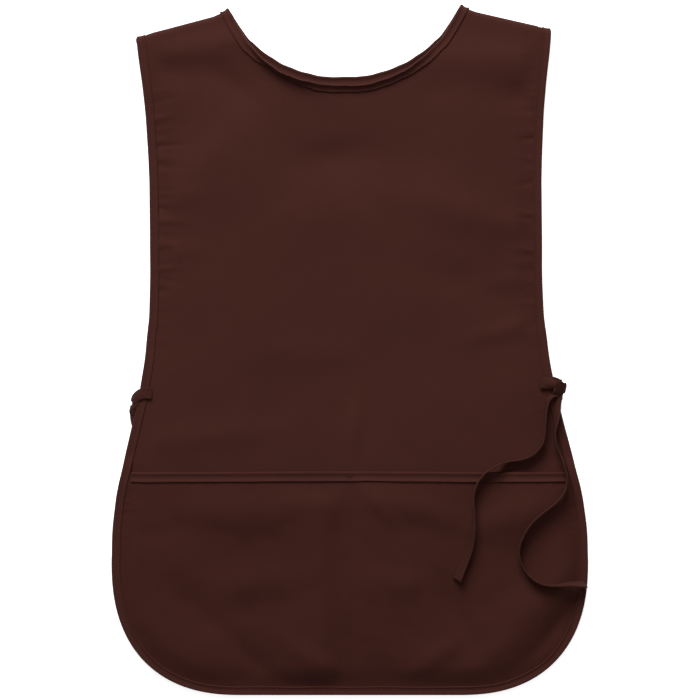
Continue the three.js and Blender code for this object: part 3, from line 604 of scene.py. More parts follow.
class Lay:
    """How the pattern lies in space: the heights of the front, the back and the pocket."""

    # Slight unevenness of the front: seed, wavelength and height in millimetres
    UNEVEN = ((5, 95, 0.22), (6, 34, 0.1))
    # Changing steepness of the rim: seed, wavelength in millimetres, share
    RIM = (57, 120, 0.6)
    MAP_STEP = 4
    BRIDGES = (3.5, 7.0)

    def __init__(self, pattern: Pattern) -> None:
        """Works out the height maps once.

        Args:
            pattern: the flat pattern.
        """
        self.pattern = pattern
        self.size = s = pattern.size
        x, y = HeightMap.places()
        edge, along = nearest(resample(pattern.outline, self.MAP_STEP), x.ravel(), y.ravel())
        edge, along = edge.reshape(x.shape), along.reshape(x.shape)
        neck, _ = nearest(resample(pattern.back_neck, self.MAP_STEP), x.ravel(), y.ravel())
        self.edge, self.along = HeightMap(edge), HeightMap(along)
        below = pattern.shoulder_line(x) - s.fold_radius - y
        beside_slot = smooth(np.abs(y - s.slot_level), s.slot_half, s.slot_half + s.tape_fade)
        slot = np.where(x < 0, 1 - beside_slot, 0)
        rim = s.front_edge + self.tie_lift(x, y) + (s.cloth + s.rest_gap * 2) * slot
        folds = relief(MAIN_FOLDS, s, x, y)
        sharp = relief(SOFT_FOLDS, s, x, y)
        for seed, wavelength, height in self.UNEVEN:
            sharp += height * Waves(seed, wavelength).read(x, y)
        sharp *= smooth(edge, s.binding, s.rim_drop) * smooth(below, 0, s.rim_drop)
        inside = s.front_height + smooth(edge, 0, s.dent_fade) * folds
        steep, gentle = smooth(edge, s.binding / 2, s.rim_drop), smooth(edge, 0, s.front_rise)
        seed, wavelength, change = self.RIM
        share = s.rim_share * (1 + change * Waves(seed, wavelength).read(along))
        share = share * (1 - smooth(y, s.hip_level, s.chest_level) / 2)
        lying = lerp(rim, inside, lerp(gentle, steep, share))
        shoulders = lerp(s.fold_centre + s.fold_radius, lying, smooth(below, 0, s.shoulder_spread))
        self.front = HeightMap(shoulders + sharp)
        e = np.minimum(np.minimum(edge, neck.reshape(x.shape)), below + s.binding)
        settle = smooth(e, s.binding, s.binding + s.back_settle)
        self.back = HeightMap(lerp(s.outer_face + self.tie_lift(x, y), s.cloth / 2, settle))
        self.stand = HeightMap(self.pocket_stand(x, y, edge))
        self.under = HeightMap(self.pocket_under(x, y))

    def tie_lift(self, x: Array, y: Array) -> Array:
        """The edges lift where a tie is stitched under the back one.

        Args:
            x: places across, in millimetres.
            y: places up, in millimetres.

        Returns:
            Heights in millimetres.
        """
        s = self.size
        level = np.where(x < 0, s.left_tie, s.right_tie)
        return s.layer * (1 - smooth(np.abs(y - level), s.tape_flat, s.tape_flat + s.tape_fade))

    def pocket_stand(self, x: Array, y: Array, edge: Array) -> Array:
        """How far the pocket stands over the front.

        Args:
            x: places across, in millimetres.
            y: places up, in millimetres.
            edge: distance from the edge, in millimetres.

        Returns:
            Heights in millimetres.
        """
        s = self.size
        depth = self.pattern.pocket_top(x) - y
        bound = 1 - smooth(depth, s.under_binding + s.layer, s.under_binding + s.top_release)
        half = np.clip((edge - s.binding) / (s.hip_width / 2 - s.binding), 0, 1)
        mouth = np.sin(math.pi * half) ** 2
        reach = np.exp(-((np.maximum(depth, 0) / s.mouth_reach) ** 2))
        ease = s.pocket_ease * smooth(edge, s.under_binding, s.dent_fade)
        return s.layer * (1 + bound) + ease + s.pocket_mouth * mouth * reach

    def pocket_under(self, x: Array, y: Array) -> Array:
        """How far the outer leg of the edge binding is lifted by the pocket below it.

        Args:
            x: places across, in millimetres.
            y: places up, in millimetres.

        Returns:
            Heights in millimetres.
        """
        s = self.size
        above = y - self.pattern.pocket_top(x)
        over = (s.layer * 2 + s.clearance) * (1 - smooth(above, 0, s.pocket_ramp))
        eased = s.clearance * (1 - smooth(-above, s.under_binding, s.pocket_depth / 3))
        return np.where(above > 0, over, self.stand.read(x, y) + eased)

    def place(self, side: int, x: Array, y: Array, out: Array | float) -> Array:
        """Puts points of the pattern in space.

        Args:
            side: 1 on the front, -1 on the back.
            x: places across.
            y: places up from the hem.
            out: how far they lie outside the middle of the cloth.

        Returns:
            Points in millimetres, in the last axis.
        """
        s = self.size
        surface = self.front if side > 0 else self.back
        slope_x, slope_y = surface.slopes(x, y)
        normal = unit(np.stack([-slope_x, -slope_y, np.ones_like(slope_x)], axis=-1))
        flat = np.stack([x, y, surface.read(x, y)], axis=-1)
        flat += normal * np.asarray(side * out)[..., None]
        angle = (self.pattern.seam_line(x) - y) / s.fold_radius
        reach = s.fold_radius + out
        up = self.pattern.shoulder_line(x) - s.fold_radius + reach * np.cos(angle)
        fold = np.stack([x, up, s.fold_centre + side * reach * np.sin(angle)], axis=-1)
        folded = (self.pattern.seam_line(x) - y < s.fold_arc)[..., None]
        return np.where(folded, fold, flat)

    def top_face(self, x: Array, y: Array) -> Array:
        """Height of the uppermost face of the dressed front.

        Args:
            x: places across, in millimetres.
            y: places up, in millimetres.

        Returns:
            Heights in millimetres.
        """
        s = self.size
        front, edge = self.front.read(x, y), self.edge.read(x, y)
        depth = self.pattern.pocket_top(x) - y
        face = np.where(depth < s.binding + s.cloth, s.outer_face, s.cloth / 2)
        in_pocket = front + self.stand.read(x, y) + face
        inside = np.where(depth > 0, in_pocket, front + s.cloth / 2)
        bound = front + s.outer_face + self.under.read(x, y)
        return np.where(edge < s.binding + s.cloth, bound, inside)

    def back_top_face(self, x: Array, y: Array) -> Array:
        """Height of the uppermost face of the back, under the left tails.

        Args:
            x: places across, in millimetres.
            y: places up, in millimetres.

        Returns:
            Heights in millimetres.
        """
        s = self.size
        bound = self.edge.read(x, y) < s.binding + s.cloth
        return self.back.read(x, y) + np.where(bound, s.outer_face, s.cloth / 2)

    def bridged(self, face: Face, x: Array, y: Array) -> Array:
        """The face under a tape, smoothed over the steps that the tape bridges.

        Args:
            face: height of what lies below, by place.
            x: places across, in millimetres.
            y: places up, in millimetres.

        Returns:
            Heights in millimetres.
        """
        top = face(x, y)
        for reach in self.BRIDGES:
            for angle in np.arange(8) * math.pi / 4:
                dx, dy = reach * math.cos(angle), reach * math.sin(angle)
                top = np.maximum(top, face(x + dx, y + dy))
        return top


def add_node(
    tree: bpy.types.NodeTree,
    kind: str,
    values: dict[str | int, float | tuple[float, ...]],
    links: dict[str | int, Socket],
) -> bpy.types.Node:
    """Adds a shader node to a tree.

    Args:
        tree: the material's nodes.
        kind: the node's type after ShaderNode.
        values: a constant for each of some inputs.
        links: what goes into each of some inputs.

    Returns:
        The new node.
    """
    node = tree.nodes.new(f"ShaderNode{kind}")
    for socket, value in values.items():
        node.inputs[socket].default_value = value
    for socket, source in links.items():
        tree.links.new(source, node.inputs[socket])
    return node


class Weave(Enum):
    """Ways that a cloth's threads run: their pitch in millimetres and their turn in degrees."""

    TWILL = (0.62, 62.0)
    BIAS = (0.62, 17.0)
    TAPE = (0.9, 40.0)


class Noise(Enum):
    """Scales of the unevenness in a cloth, with their detail."""

    SLUB = (900, 3)
    BROAD = (9, 3)
    STREAK = (60, 4)

    def add(self, tree: bpy.types.NodeTree, where: Socket) -> Socket:
        """Adds the noise to a material and gives its output.

        Args:
            tree: the material's nodes.
            where: the coordinates that go in.

        Returns:
            The noise's output.
        """
        scale, detail = self.value
        values = {"Scale": scale, "Detail": detail, "Roughness": 0.6}
        return add_node(tree, "TexNoise", values, {"Vector": where}).outputs["Fac"]


@dataclass(frozen=True)
class Finish:
    """One woven finish: linear colour, how far it varies, and its threads."""

    name: str
    color: tuple[float, float, float]
    vary: float
    weave: Weave
    bump: float
    sheen: float
    roughness: float = 0.86

    # Shares of the threads, of the broad unevenness and of the streaks
    SHARES = (0.3, 0.9, 0.5)
    SPECULAR, SHEEN_ROUGHNESS = 0.09, 0.45
    SHEEN_TINT = (0.8, 0.42, 0.34, 1)
    TILT = (0.31, 0.23)
    RANGE = (0.35, 0.98)
    BUMP_DEPTH = 0.12 * MM

    def build(self) -> bpy.types.Material:
        """Makes the material's nodes.

        Returns:
            The new material.
        """
        material = bpy.data.materials.new(self.name)
        material.use_nodes = True
        material.diffuse_color = (*self.color, 1)
        tree = material.node_tree
        where = tree.nodes.new("ShaderNodeTexCoord").outputs["Object"]
        fine, broad, streaks = self.SHARES
        threads = self.add_threads(tree, where)
        woven = self.add_sum(tree, threads, fine, Noise.SLUB.add(tree, where))
        patchy = self.add_sum(tree, Noise.BROAD.add(tree, where), broad, woven)
        uneven = self.add_sum(tree, Noise.STREAK.add(tree, where), streaks, patchy)
        half = add_node(tree, "Math", {1: 0.5}, {0: uneven})
        half.operation = "MULTIPLY"
        ramp = add_node(tree, "ValToRGB", {}, {"Fac": half.outputs["Value"]})
        for element, position, sign in zip(ramp.color_ramp.elements, self.RANGE, (-1, 1)):
            element.position = position
            element.color = (*[c * (1 + sign * self.vary) for c in self.color], 1)
        values = {"Strength": self.bump, "Distance": self.BUMP_DEPTH}
        bump = add_node(tree, "Bump", values, {"Height": woven})
        shader = tree.nodes["Principled BSDF"]
        shader.inputs["Roughness"].default_value = self.roughness
        shader.inputs["Specular IOR Level"].default_value = self.SPECULAR
        shader.inputs["Sheen Weight"].default_value = self.sheen
        shader.inputs["Sheen Roughness"].default_value = self.SHEEN_ROUGHNESS
        shader.inputs["Sheen Tint"].default_value = self.SHEEN_TINT
        tree.links.new(ramp.outputs["Color"], shader.inputs["Base Color"])
        tree.links.new(bump.outputs["Normal"], shader.inputs["Normal"])
        return material

    def add_threads(self, tree: bpy.types.NodeTree, where: Socket) -> Socket:
        """Adds the bands of the threads and gives their output.

        Args:
            tree: the material's nodes.
            where: the coordinates that go in.

        Returns:
            Their output.
        """
        pitch, turn = self.weave.value
        values = {"Rotation": (*self.TILT, math.radians(turn))}
        turned = add_node(tree, "Mapping", values, {"Vector": where})
        scale = 1 / (pitch * MM) * 2 * math.pi / 20
        values = {"Scale": scale, "Distortion": 0.8, "Detail": 1, "Detail Scale": 3}
        threads = add_node(tree, "TexWave", values, {"Vector": turned.outputs["Vector"]})
        threads.wave_type = "BANDS"
        threads.bands_direction = "X"
        return threads.outputs["Fac"]

    @staticmethod
    def add_sum(tree: bpy.types.NodeTree, part: Socket, weight: float, rest: Socket) -> Socket:
        """Adds a weighted part to the rest and gives the sum.

        Args:
            tree: the material's nodes.
            part: what is added.
            weight: its weight.
            rest: what it is added to.

        Returns:
            The sum's output.
        """
        total = add_node(tree, "Math", {1: weight}, {0: part, 2: rest})
        total.operation = "MULTIPLY_ADD"
        return total.outputs["Value"]


CLOTH = Finish("cloth_twill", (0.0455, 0.0128, 0.0092), 0.12, Weave.TWILL, 0.3, 0.03)
# The pocket's twill is the cloth's twill made a little darker: painted shade on the pocket
SHADED_POCKET = Finish("pocket_twill_painted_shade", (0.0432, 0.0116, 0.0082), 0.12, Weave.TWILL, 0.3, 0.03)
BINDING = Finish("binding_twill", (0.0475, 0.0136, 0.0099), 0.14, Weave.BIAS, 0.35, 0.04)
TAPE = Finish("tape_weave", (0.0405, 0.0118, 0.0084), 0.16, Weave.TAPE, 0.5, 0.03)
THREAD = Finish("sewing_thread", (0.054, 0.0165, 0.0122), 0.1, Weave.TAPE, 0.25, 0.05, 0.7)


def add_object(name: str, data: bpy.types.ID) -> bpy.types.Object:
    """Adds an object with some data to the scene.

    Args:
        name: the object's name.
        data: what it shows.

    Returns:
        The new object.
    """
    made = bpy.data.objects.new(name, data)
    bpy.context.scene.collection.objects.link(made)
    return made


class Workshop:
    """Makes mesh objects in the row frame and gives them their finish."""

    def __init__(self, size: Sizes) -> None:
        """Keeps the shift from the pattern to the row frame."""
        self.shift = np.array([0, -size.length / 2, 0])
        self.finishes: dict[Finish, bpy.types.Material] = {}

    def material(self, finish: Finish) -> bpy.types.Material:
        """The material of a finish, made once.

        Args:
            finish: the finish.

        Returns:
            The material.
        """
        if finish not in self.finishes:
            self.finishes[finish] = finish.build()
        return self.finishes[finish]

    def metres(self, points: Array) -> Array:
        """Pattern millimetres to metres in the row frame."""
        return (points + self.shift) * MM

    def mesh(
        self, name: str, points: Array, faces: Array, finish: Finish, slot: Slot
    ) -> bpy.types.Object:
        """Makes one smooth mesh object that rides on the apron.

        Args:
            name: the piece's name.
            points: its corners in millimetres, one a row.
            faces: corner numbers, four a row.
            finish: its finish.
            slot: the record's material slot; not used.

        Returns:
            The new object.
        """
        data = bpy.data.meshes.new(name)
        corners = self.metres(points)
        corners[:, 2] = np.maximum(corners[:, 2], 0)
        data.from_pydata(corners.tolist(), [], faces.tolist())
        data.validate()
        data.polygons.foreach_set("use_smooth", np.ones(len(data.polygons), dtype=bool))
        data.update()
        data.materials.append(self.material(finish))
        piece = add_object(name, data)
        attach(piece, "root")
        LOG.info("%s: %d faces", name, len(faces))
        return piece


def grid_faces(rows: int, columns: int, closed: bool = False) -> Array:
    """Quads of a grid whose points run row by row.

    Args:
        rows: how many rows of points.
        columns: how many points in a row.
        closed: whether each row joins its own start.

    Returns:
        Corner numbers, four a row.
    """
    wide = columns if closed else columns - 1
    j, i = np.meshgrid(np.arange(rows - 1), np.arange(wide), indexing="ij")
    nxt = (i + 1) % columns
    low, high = j * columns, (j + 1) * columns
    quads = np.stack([low + i, low + nxt, high + nxt, high + i], axis=-1)
    return quads.reshape(-1, 4)


def coons(bottom: Array, top: Array, left: Array, right: Array) -> Array:
    """Fills four border curves with a smooth grid.

    Args:
        bottom: points from the left to the right.
        top: as many points, from the left to the right.
        left: points from the bottom to the top.
        right: as many points, from the bottom to the top.

    Returns:
        Points in rows and columns, from the bottom up.
    """
    u = np.linspace(0, 1, len(bottom))[None, :, None]
    v = np.linspace(0, 1, len(left))[:, None, None]
    across = lerp(left[:, None], right[:, None], u)
    up = lerp(bottom[None], top[None], v)
    corners = lerp(lerp(bottom[0], bottom[-1], u), lerp(top[0], top[-1], u), v)
    return across + up - corners


class Puckers:
    """Short ticks in the cloth beside a stitched edge, each with its own strength."""

    SEED = 11
    EDGE_LENGTH = 2100
    # Where the front puckers most: level, spread in millimetres, strength
    BANDS = ((470, 70, 1), (575, 35, 0.8), (190, 45, 0.45))
    LEAST = 0.18

    def __init__(self, spacing: float, height: float, reach: float) -> None:
        """Scatters the ticks along the edge.

        Args:
            spacing: middle distance between ticks.
            height: height of the strongest.
            reach: how far the longest goes into the cloth.
        """
        rng = np.random.default_rng(self.SEED)
        count = int(self.EDGE_LENGTH / spacing)
        self.at = (np.arange(count) + rng.uniform(-0.35, 0.35, count)) * spacing
        self.wide = rng.uniform(2.0, 3.6, count)
        strength = rng.uniform(0.25, 1.0, count) ** 1.5
        self.high = height * strength * rng.choice([-1, 1, 1], count)
        self.reach = reach * rng.uniform(0.5, 1.5, count)
        self.slant = rng.uniform(-0.25, 0.25, count)

    def ticks(self, along: Array, edge: Array) -> Array:
        """Sum of the ticks at some lengths along the edge and distances from it.

        Args:
            along: lengths along the edge.
            edge: distance from the edge, in millimetres.

        Returns:
            Heights in millimetres.
        """
        total = np.zeros(np.broadcast(along, edge).shape)
        rows = zip(self.at, self.wide, self.high, self.reach, self.slant)
        for at, wide, high, reach, slant in rows:
            away = (along + slant * edge - at) / wide
            total += high * np.exp(-(away**2)) * np.exp(-((edge / reach) ** 2))
        return total

    def read(self, lay: Lay, x: Array, y: Array) -> Array:
        """The ticks' height in the cloth of the front.

        Args:
            lay: how the cloth lies.
            x: places across, in millimetres.
            y: places up, in millimetres.

        Returns:
            Heights in millimetres.
        """
        s = lay.size
        edge, along = lay.edge.read(x, y), lay.along.read(x, y)
        start = smooth(edge, s.layer, s.binding)
        strength = self.LEAST + sum(high * bell(y, at, wide) for at, wide, high in self.BANDS)
        return strength * start * self.ticks(along, np.maximum(edge - s.binding, 0))


PUCKERS = Puckers(10.5, 1.5, 17.0)


@dataclass(frozen=True)
class Sheet:
    """One layer of cloth, cut flat and caught in its bindings."""

    name: str
    side: int
    lay: Lay
    columns: int
    rows: int

    def borders(self) -> tuple[Array, Array, Array]:
        """The left, the lower and the right border, inside the fold of the edge binding.

        Returns:
            Three lines of points.
        """
        s, outline = self.lay.size, self.lay.pattern.outline
        edge = outline + inwards(outline, 1) * s.layer
        level = s.hip_level * (1 - math.sin(math.pi / 4) ** (2 / s.corner_roundness))
        other_side = 1e3
        low = []
        for side in (-1, 1):
            away = np.abs(outline[:, 1] - level) + other_side * (np.sign(outline[:, 0]) != side)
            low.append(int(np.argmin(away)))
        return edge[: low[0] + 1][::-1], edge[low[0] : low[1] + 1], edge[low[1] :]

    def fill(self, bottom: Array, top: Array, left: Array, right: Array) -> Array:
        """The sheet's grid between its four borders."""
        across = (even(bottom, self.columns), even(top, self.columns))
        return coons(*across, even(left, self.rows), even(right, self.rows))

    def make(self, shop: Workshop, grid: Array, out: Array, finish: Finish) -> bpy.types.Object:
        """Makes the cloth.

        Args:
            shop: the workshop.
            grid: the sheet's grid in the pattern.
            out: how far each point lies outside the middle of the cloth.
            finish: the cloth's finish.

        Returns:
            The new object.
        """
        points = self.lay.place(self.side, grid[..., 0], grid[..., 1], out).reshape(-1, 3)
        faces = grid_faces(self.rows, self.columns)
        piece = shop.mesh(f"{self.name}_cloth", points, faces, finish, Slot.CLOTH)
        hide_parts(self.name)
        return piece

    def lay_down(
        self, piece: bpy.types.Object, grid: Array, tall: float, on: Sequence[str]
    ) -> None:
        """Does nothing: its body is empty, so nothing is kept of what the sheet was cut to or what
        it lies on.

        Args:
            piece: the sheet's object; not used.
            grid: the sheet's points in millimetres; not used.
            tall: its flat height in millimetres; not used.
            on: what it lies on; not used.
        """


class Panel(Sheet):
    """A whole panel of cloth, front or back, which ends at the shoulder seams."""

    SEAM_POINTS = 40

    def pattern_grid(self) -> Array:
        """The panel's grid in the pattern.

        Returns:
            Rows of points on the pattern.
        """
        s, pattern = self.lay.size, self.lay.pattern
        left, bottom, right = self.borders()
        neck = pattern.front_neck if self.side > 0 else pattern.back_neck
        neck = neck - inwards(neck, 1) * s.layer
        seams = []
        for start, end in ((left[-1, 0], neck[0, 0]), (neck[-1, 0], right[-1, 0])):
            x = np.linspace(start, end, self.SEAM_POINTS)
            seams.append(np.stack([x, pattern.seam_line(x)], axis=1))
        top = np.concatenate([seams[0][:-1], neck[1:-1], seams[1][1:]])
        left[-1, 1], right[-1, 1] = seams[0][0, 1], seams[1][-1, 1]
        return self.fill(bottom, top, left, right)

    def mesh(self, shop: Workshop) -> bpy.types.Object:
        """Makes the cloth with its puckers beside the bindings.

        Args:
            shop: the workshop.

        Returns:
            The new object.
        """
        grid = self.pattern_grid()
        x, y = grid[..., 0], grid[..., 1]
        out = PUCKERS.read(self.lay, x, y) if self.side > 0 else 0.0 * x
        return self.make(shop, grid, out, CLOTH)

    def dress(self, piece: bpy.types.Object, rests_on: Sequence[str]) -> None:
        """Hands the sheet's grid to lay_down, which does nothing with it."""
        self.lay_down(piece, self.pattern_grid(), self.lay.size.length, rests_on)


class Pocket(Sheet):
    """The patch pocket across the front, with its seam down the middle."""

    # Ridges beside the seam: side, height, where the crest is, where it ends
    RIDGES = ((-1, 5.2, 31, 100), (1, 1.4, 16, 70))
    # Its own creases: seed, wavelength and height in millimetres
    CREASES = ((21, 60, 0.5), (22, 26, 0.2))
    LOOSE = 1.3
    PUCKERED = 0.6
    TOP_POINTS = 200

    def pattern_grid(self) -> Array:
        """The pocket's grid in the pattern.

        Returns:
            Rows of points on the pattern.
        """
        s, pattern = self.lay.size, self.lay.pattern
        left, bottom, right = self.borders()
        top_level = s.pocket_depth - s.layer - s.cloth
        left, right = left[left[:, 1] < top_level], right[right[:, 1] < top_level]
        xs = np.linspace(left[-1, 0], right[-1, 0], self.TOP_POINTS)
        top = np.stack([xs, pattern.pocket_top(xs) - s.layer], axis=1)
        return self.fill(bottom, top, np.vstack([left, top[:1]]), np.vstack([right, top[-1:]]))

    def seam(self, x: Array) -> Array:
        """How far the cloth stands up beside the seam down the middle.

        Args:
            x: places across, in millimetres.

        Returns:
            Heights in millimetres.
        """
        total = np.zeros_like(x)
        for side, height, crest, end in self.RIDGES:
            total += height * (smooth(side * x, 0, crest) - smooth(side * x, crest, end))
        return total

    def lift(self, x: Array, y: Array) -> Array:
        """Height of the pocket over the front, with its own creases.

        Args:
            x: places across, in millimetres.
            y: places up, in millimetres.

        Returns:
            Heights in millimetres.
        """
        s, lay = self.lay.size, self.lay
        edge = lay.edge.read(x, y)
        depth = lay.pattern.pocket_top(x) - y
        own = sum(height * Waves(seed, wave).read(x, y) for seed, wave, height in self.CREASES)
        own = (own + self.LOOSE) * smooth(edge, s.binding, 50) * smooth(depth, s.binding, 60)
        middle = self.seam(x) * smooth(depth, s.under_binding, 38) * smooth(y, s.binding, 34)
        return lay.stand.read(x, y) + own + middle + PUCKERS.read(lay, x, y) * self.PUCKERED

    def mesh(self, shop: Workshop) -> bpy.types.Object:
        """Makes the pocket's cloth."""
        grid = self.pattern_grid()
        return self.make(shop, grid, self.lift(grid[..., 0], grid[..., 1]), SHADED_POCKET)

    def dress(self, piece: bpy.types.Object) -> None:
        """Hands the sheet's grid to lay_down, which does nothing with it."""
        self.lay_down(piece, self.pattern_grid(), self.lay.size.pocket_depth, ["front_panel"])


@dataclass(frozen=True)
class Binding:
    """A strip of bias tape folded over an edge and stitched through."""

    # Outer skin from the inner edge to the fold: share of the width, share of the face
    FLAT = (
        (1, 0.2), (0.97, 0.38), (0.91, 0.52), (0.84, 0.6), (0.7, 0.68), (0.5, 0.76), (0.3, 0.82),
        (0.14, 0.76), (0.04, 0.46), (0, 0),
    )
    CREASED = (
        (1, 0.2), (0.975, 0.6), (0.93, 0.92), (0.87, 0.88), (0.79, 0.6), (0.5, 0.58), (0.3, 0.8),
        (0.16, 1.04), (0.06, 0.8), (0, 0),
    )
    RIDGED = (
        (1, 0.2), (0.98, 0.7), (0.94, 1.12), (0.885, 1.1), (0.84, 0.56), (0.5, 0.5), (0.3, 0.82),
        (0.17, 1.38), (0.07, 1.12), (0, 0),
    )
    # Inside of the folded strip: how thin the slot is, and where the strip's fold starts
    SLOT, FOLD_END, FOLD_START = 0.3, 0.8, 1.1
    # Uneven width: seed, wavelength in millimetres, share
    UNEVEN = (31, 60, 0.035)
    RIPPLE = 0.2
    # Rows of stitches: how far in, and how high on the edges that lie flat and on the others
    STITCHED, SUNK, FACE = 0.86, 0.55, 0.92

    name: str
    lay: Lay
    skin: Sequence[tuple[float, float]]
    width: float

    def section(self) -> Array:
        """The strip's section: into the cloth, and out of it in shares of the face.

        Returns:
            Rows of the two lengths.
        """
        s = self.lay.size
        upper = [(self.width * into, s.outer_face * out) for into, out in self.skin]
        lower = [(into, -out) for into, out in reversed(upper[:-1])]
        slot, start = self.SLOT, self.FOLD_START
        wide = self.width
        inside = [(wide, -slot), (start, -slot), (self.FOLD_END, 0), (start, slot), (wide, slot)]
        return np.array(upper + lower + inside)

    def rings(
        self, path: Array, side: int, turn: int, raised: bool = False, roll: Array | float = 0.0
    ) -> Array:
        """Rings of points along an edge.

        Args:
            path: the edge in the pattern.
            side: 1 on the front, -1 on the back.
            turn: which way the cloth is.
            raised: whether the outer leg lies over the pocket.
            roll: how far the folded edge stands up, at each point of the path.

        Returns:
            Points in rings.
        """
        section = self.section()
        square = inwards(path, turn)
        lengths = arc_lengths(path)
        into, out = section[:, 0][None], section[:, 1][None]
        ripple = PUCKERS.ticks(lengths, np.zeros_like(lengths))[:, None]
        roll = np.broadcast_to(np.asarray(roll, dtype=float), lengths.shape)[:, None]
        seed, wavelength, change = self.UNEVEN
        wide = 1 + change * Waves(seed, wavelength).read(lengths)[:, None]
        wide = wide * np.sqrt(1 - (roll / self.width) ** 2)
        x = path[:, :1] + square[:, :1] * into * wide
        y = path[:, 1:] + square[:, 1:] * into * wide
        share = np.clip(into / self.width, 0, 1)
        out = np.repeat(out, len(path), axis=0) + self.RIPPLE * ripple * share * np.sign(out)
        if raised:
            under = np.where(out > 0, self.lay.under.read(path[:, :1], path[:, 1:]), 0)
            out = out + under * smooth(out, 0, 0.7)
        out = out + roll * (1 - share) ** 1.3
        return self.lay.place(side, x, y, out)

    def mesh(self, shop: Workshop, rings: Array, loop: bool) -> bpy.types.Object:
        """Makes the strip through its rings.

        Args:
            shop: the workshop.
            rings: rings of points along the edge.
            loop: whether the last ring joins the first.

        Returns:
            The new object.
        """
        count, around = rings.shape[:2]
        faces = grid_faces(count + 1 if loop else count, around, closed=True)
        if loop:
            faces = faces % (count * around)
        piece = shop.mesh(f"{self.name}_strip", rings.reshape(-1, 3), faces, BINDING, Slot.BINDING)
        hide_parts(self.name)
        return piece


@dataclass(frozen=True)
class Stitches:
    """Rows of single machine stitches, joined in one mesh."""

    PITCH, LENGTH, THICK, FLATNESS = 3.0, 2.3, 0.42, 0.8
    # One stitch: share of its length, share of its thickness
    RINGS = ((-0.5, 0.25), (-0.3, 1), (0.3, 1), (0.5, 0.25))
    SIDES = 5

    name: str
    slot: Slot
    lines: list[Array] = field(default_factory=list)

    def row(self, line: Array) -> None:
        """Adds a row of stitches along a line in space."""
        self.lines.append(line)

    def mesh(self, shop: Workshop) -> bpy.types.Object:
        """Makes all stitches.

        Args:
            shop: the workshop.

        Returns:
            The new object.
        """
        rings, sides = np.array(self.RINGS), self.SIDES
        around = np.arange(sides) * 2 * math.pi / sides
        cos, sin = np.cos(around)[:, None], np.sin(around)[:, None]
        points, faces = [], []
        cell = grid_faces(len(rings), sides, closed=True)
        for line in self.lines:
            dots = resample(line, self.PITCH)
            middle = (dots[1:] + dots[:-1]) / 2
            along = unit(np.diff(dots, axis=0))
            flat = unit(np.cross(along, UP))
            for at, way, wide, high in zip(middle, along, flat, np.cross(flat, along)):
                start = len(points) * len(rings) * sides
                body = at + rings[:, :1] * self.LENGTH * way
                spread = rings[:, 1] * self.THICK / 2
                ring = cos * wide + self.FLATNESS * sin * high
                points.append((body[:, None] + spread[:, None, None] * ring[None]).reshape(-1, 3))
                faces.append(cell + start)
        points, faces = np.concatenate(points), np.concatenate(faces)
        return shop.mesh(self.name, points, faces, THREAD, self.slot)


@dataclass(frozen=True)
class Stop:
    """One point of a tape's route: across, up, and its turn from standing on its edge."""

    x: float
    y: float
    turn: float = 90


RIGHT_TAIL_A = (
    Stop(213.2, 309.6, 40), Stop(208.4, 308, 34), Stop(204.2, 304.6, 24), Stop(201.9, 298, 10),
    Stop(201, 286, 2), Stop(200.3, 270, 0), Stop(198.5, 261, 0), Stop(194.7, 254.5, 0),
    Stop(188, 248, 0), Stop(177.5, 243.3, 0), Stop(162, 240.7, 0), Stop(151, 237.2, 0),
    Stop(139.8, 230.6, 0), Stop(132.5, 222.5, 0), Stop(128, 213, 0), Stop(126.3, 199, 4),
    Stop(126.8, 184, 10), Stop(126.3, 167, 16), Stop(123.8, 154, 24), Stop(119.7, 143, 32),
    Stop(114.6, 131, 40), Stop(109.9, 119.7, 46),
)
RIGHT_TAIL_B = (
    Stop(216.6, 308, 60), Stop(214.8, 301, 55), Stop(213.2, 292, 45), Stop(211.4, 281, 22),
    Stop(210.6, 270, 4), Stop(212.2, 258, 0), Stop(216.8, 246, 0), Stop(220.8, 234.5, 0),
    Stop(222.6, 224, 0), Stop(221.4, 214, 0), Stop(216.8, 205, 0), Stop(209, 197.3, 0),
    Stop(198.5, 189.2, 0), Stop(188, 180.2, 0), Stop(180.2, 169.7, 0), Stop(175, 158, 0),
    Stop(173.4, 147.3, 0), Stop(175.8, 136.6, 0), Stop(181.5, 126.6, 0), Stop(189.4, 119.2, 0),
    Stop(199, 115, 0), Stop(211.7, 114.2, -5), Stop(225, 115.4, -14), Stop(241.6, 114.6, -25),
)
LEFT_TAIL_A = (
    Stop(-224.2, 288.8), Stop(-222.6, 281), Stop(-218.5, 273.5), Stop(-212, 267),
    Stop(-203, 261), Stop(-190, 255), Stop(-180, 243), Stop(-175, 228),
    Stop(-174, 212), Stop(-177, 196), Stop(-181, 180), Stop(-182, 164),
    Stop(-179, 148), Stop(-174, 132), Stop(-170, 116), Stop(-168, 100),
)
LEFT_TAIL_B = (
    Stop(-219.6, 299), Stop(-213, 298.6), Stop(-204, 296), Stop(-192, 290.5),
    Stop(-178, 283), Stop(-165, 271), Stop(-156, 257), Stop(-152, 241),
    Stop(-152, 224), Stop(-155, 207), Stop(-159, 190), Stop(-160, 173),
    Stop(-157, 156), Stop(-151, 140), Stop(-145, 125),
)


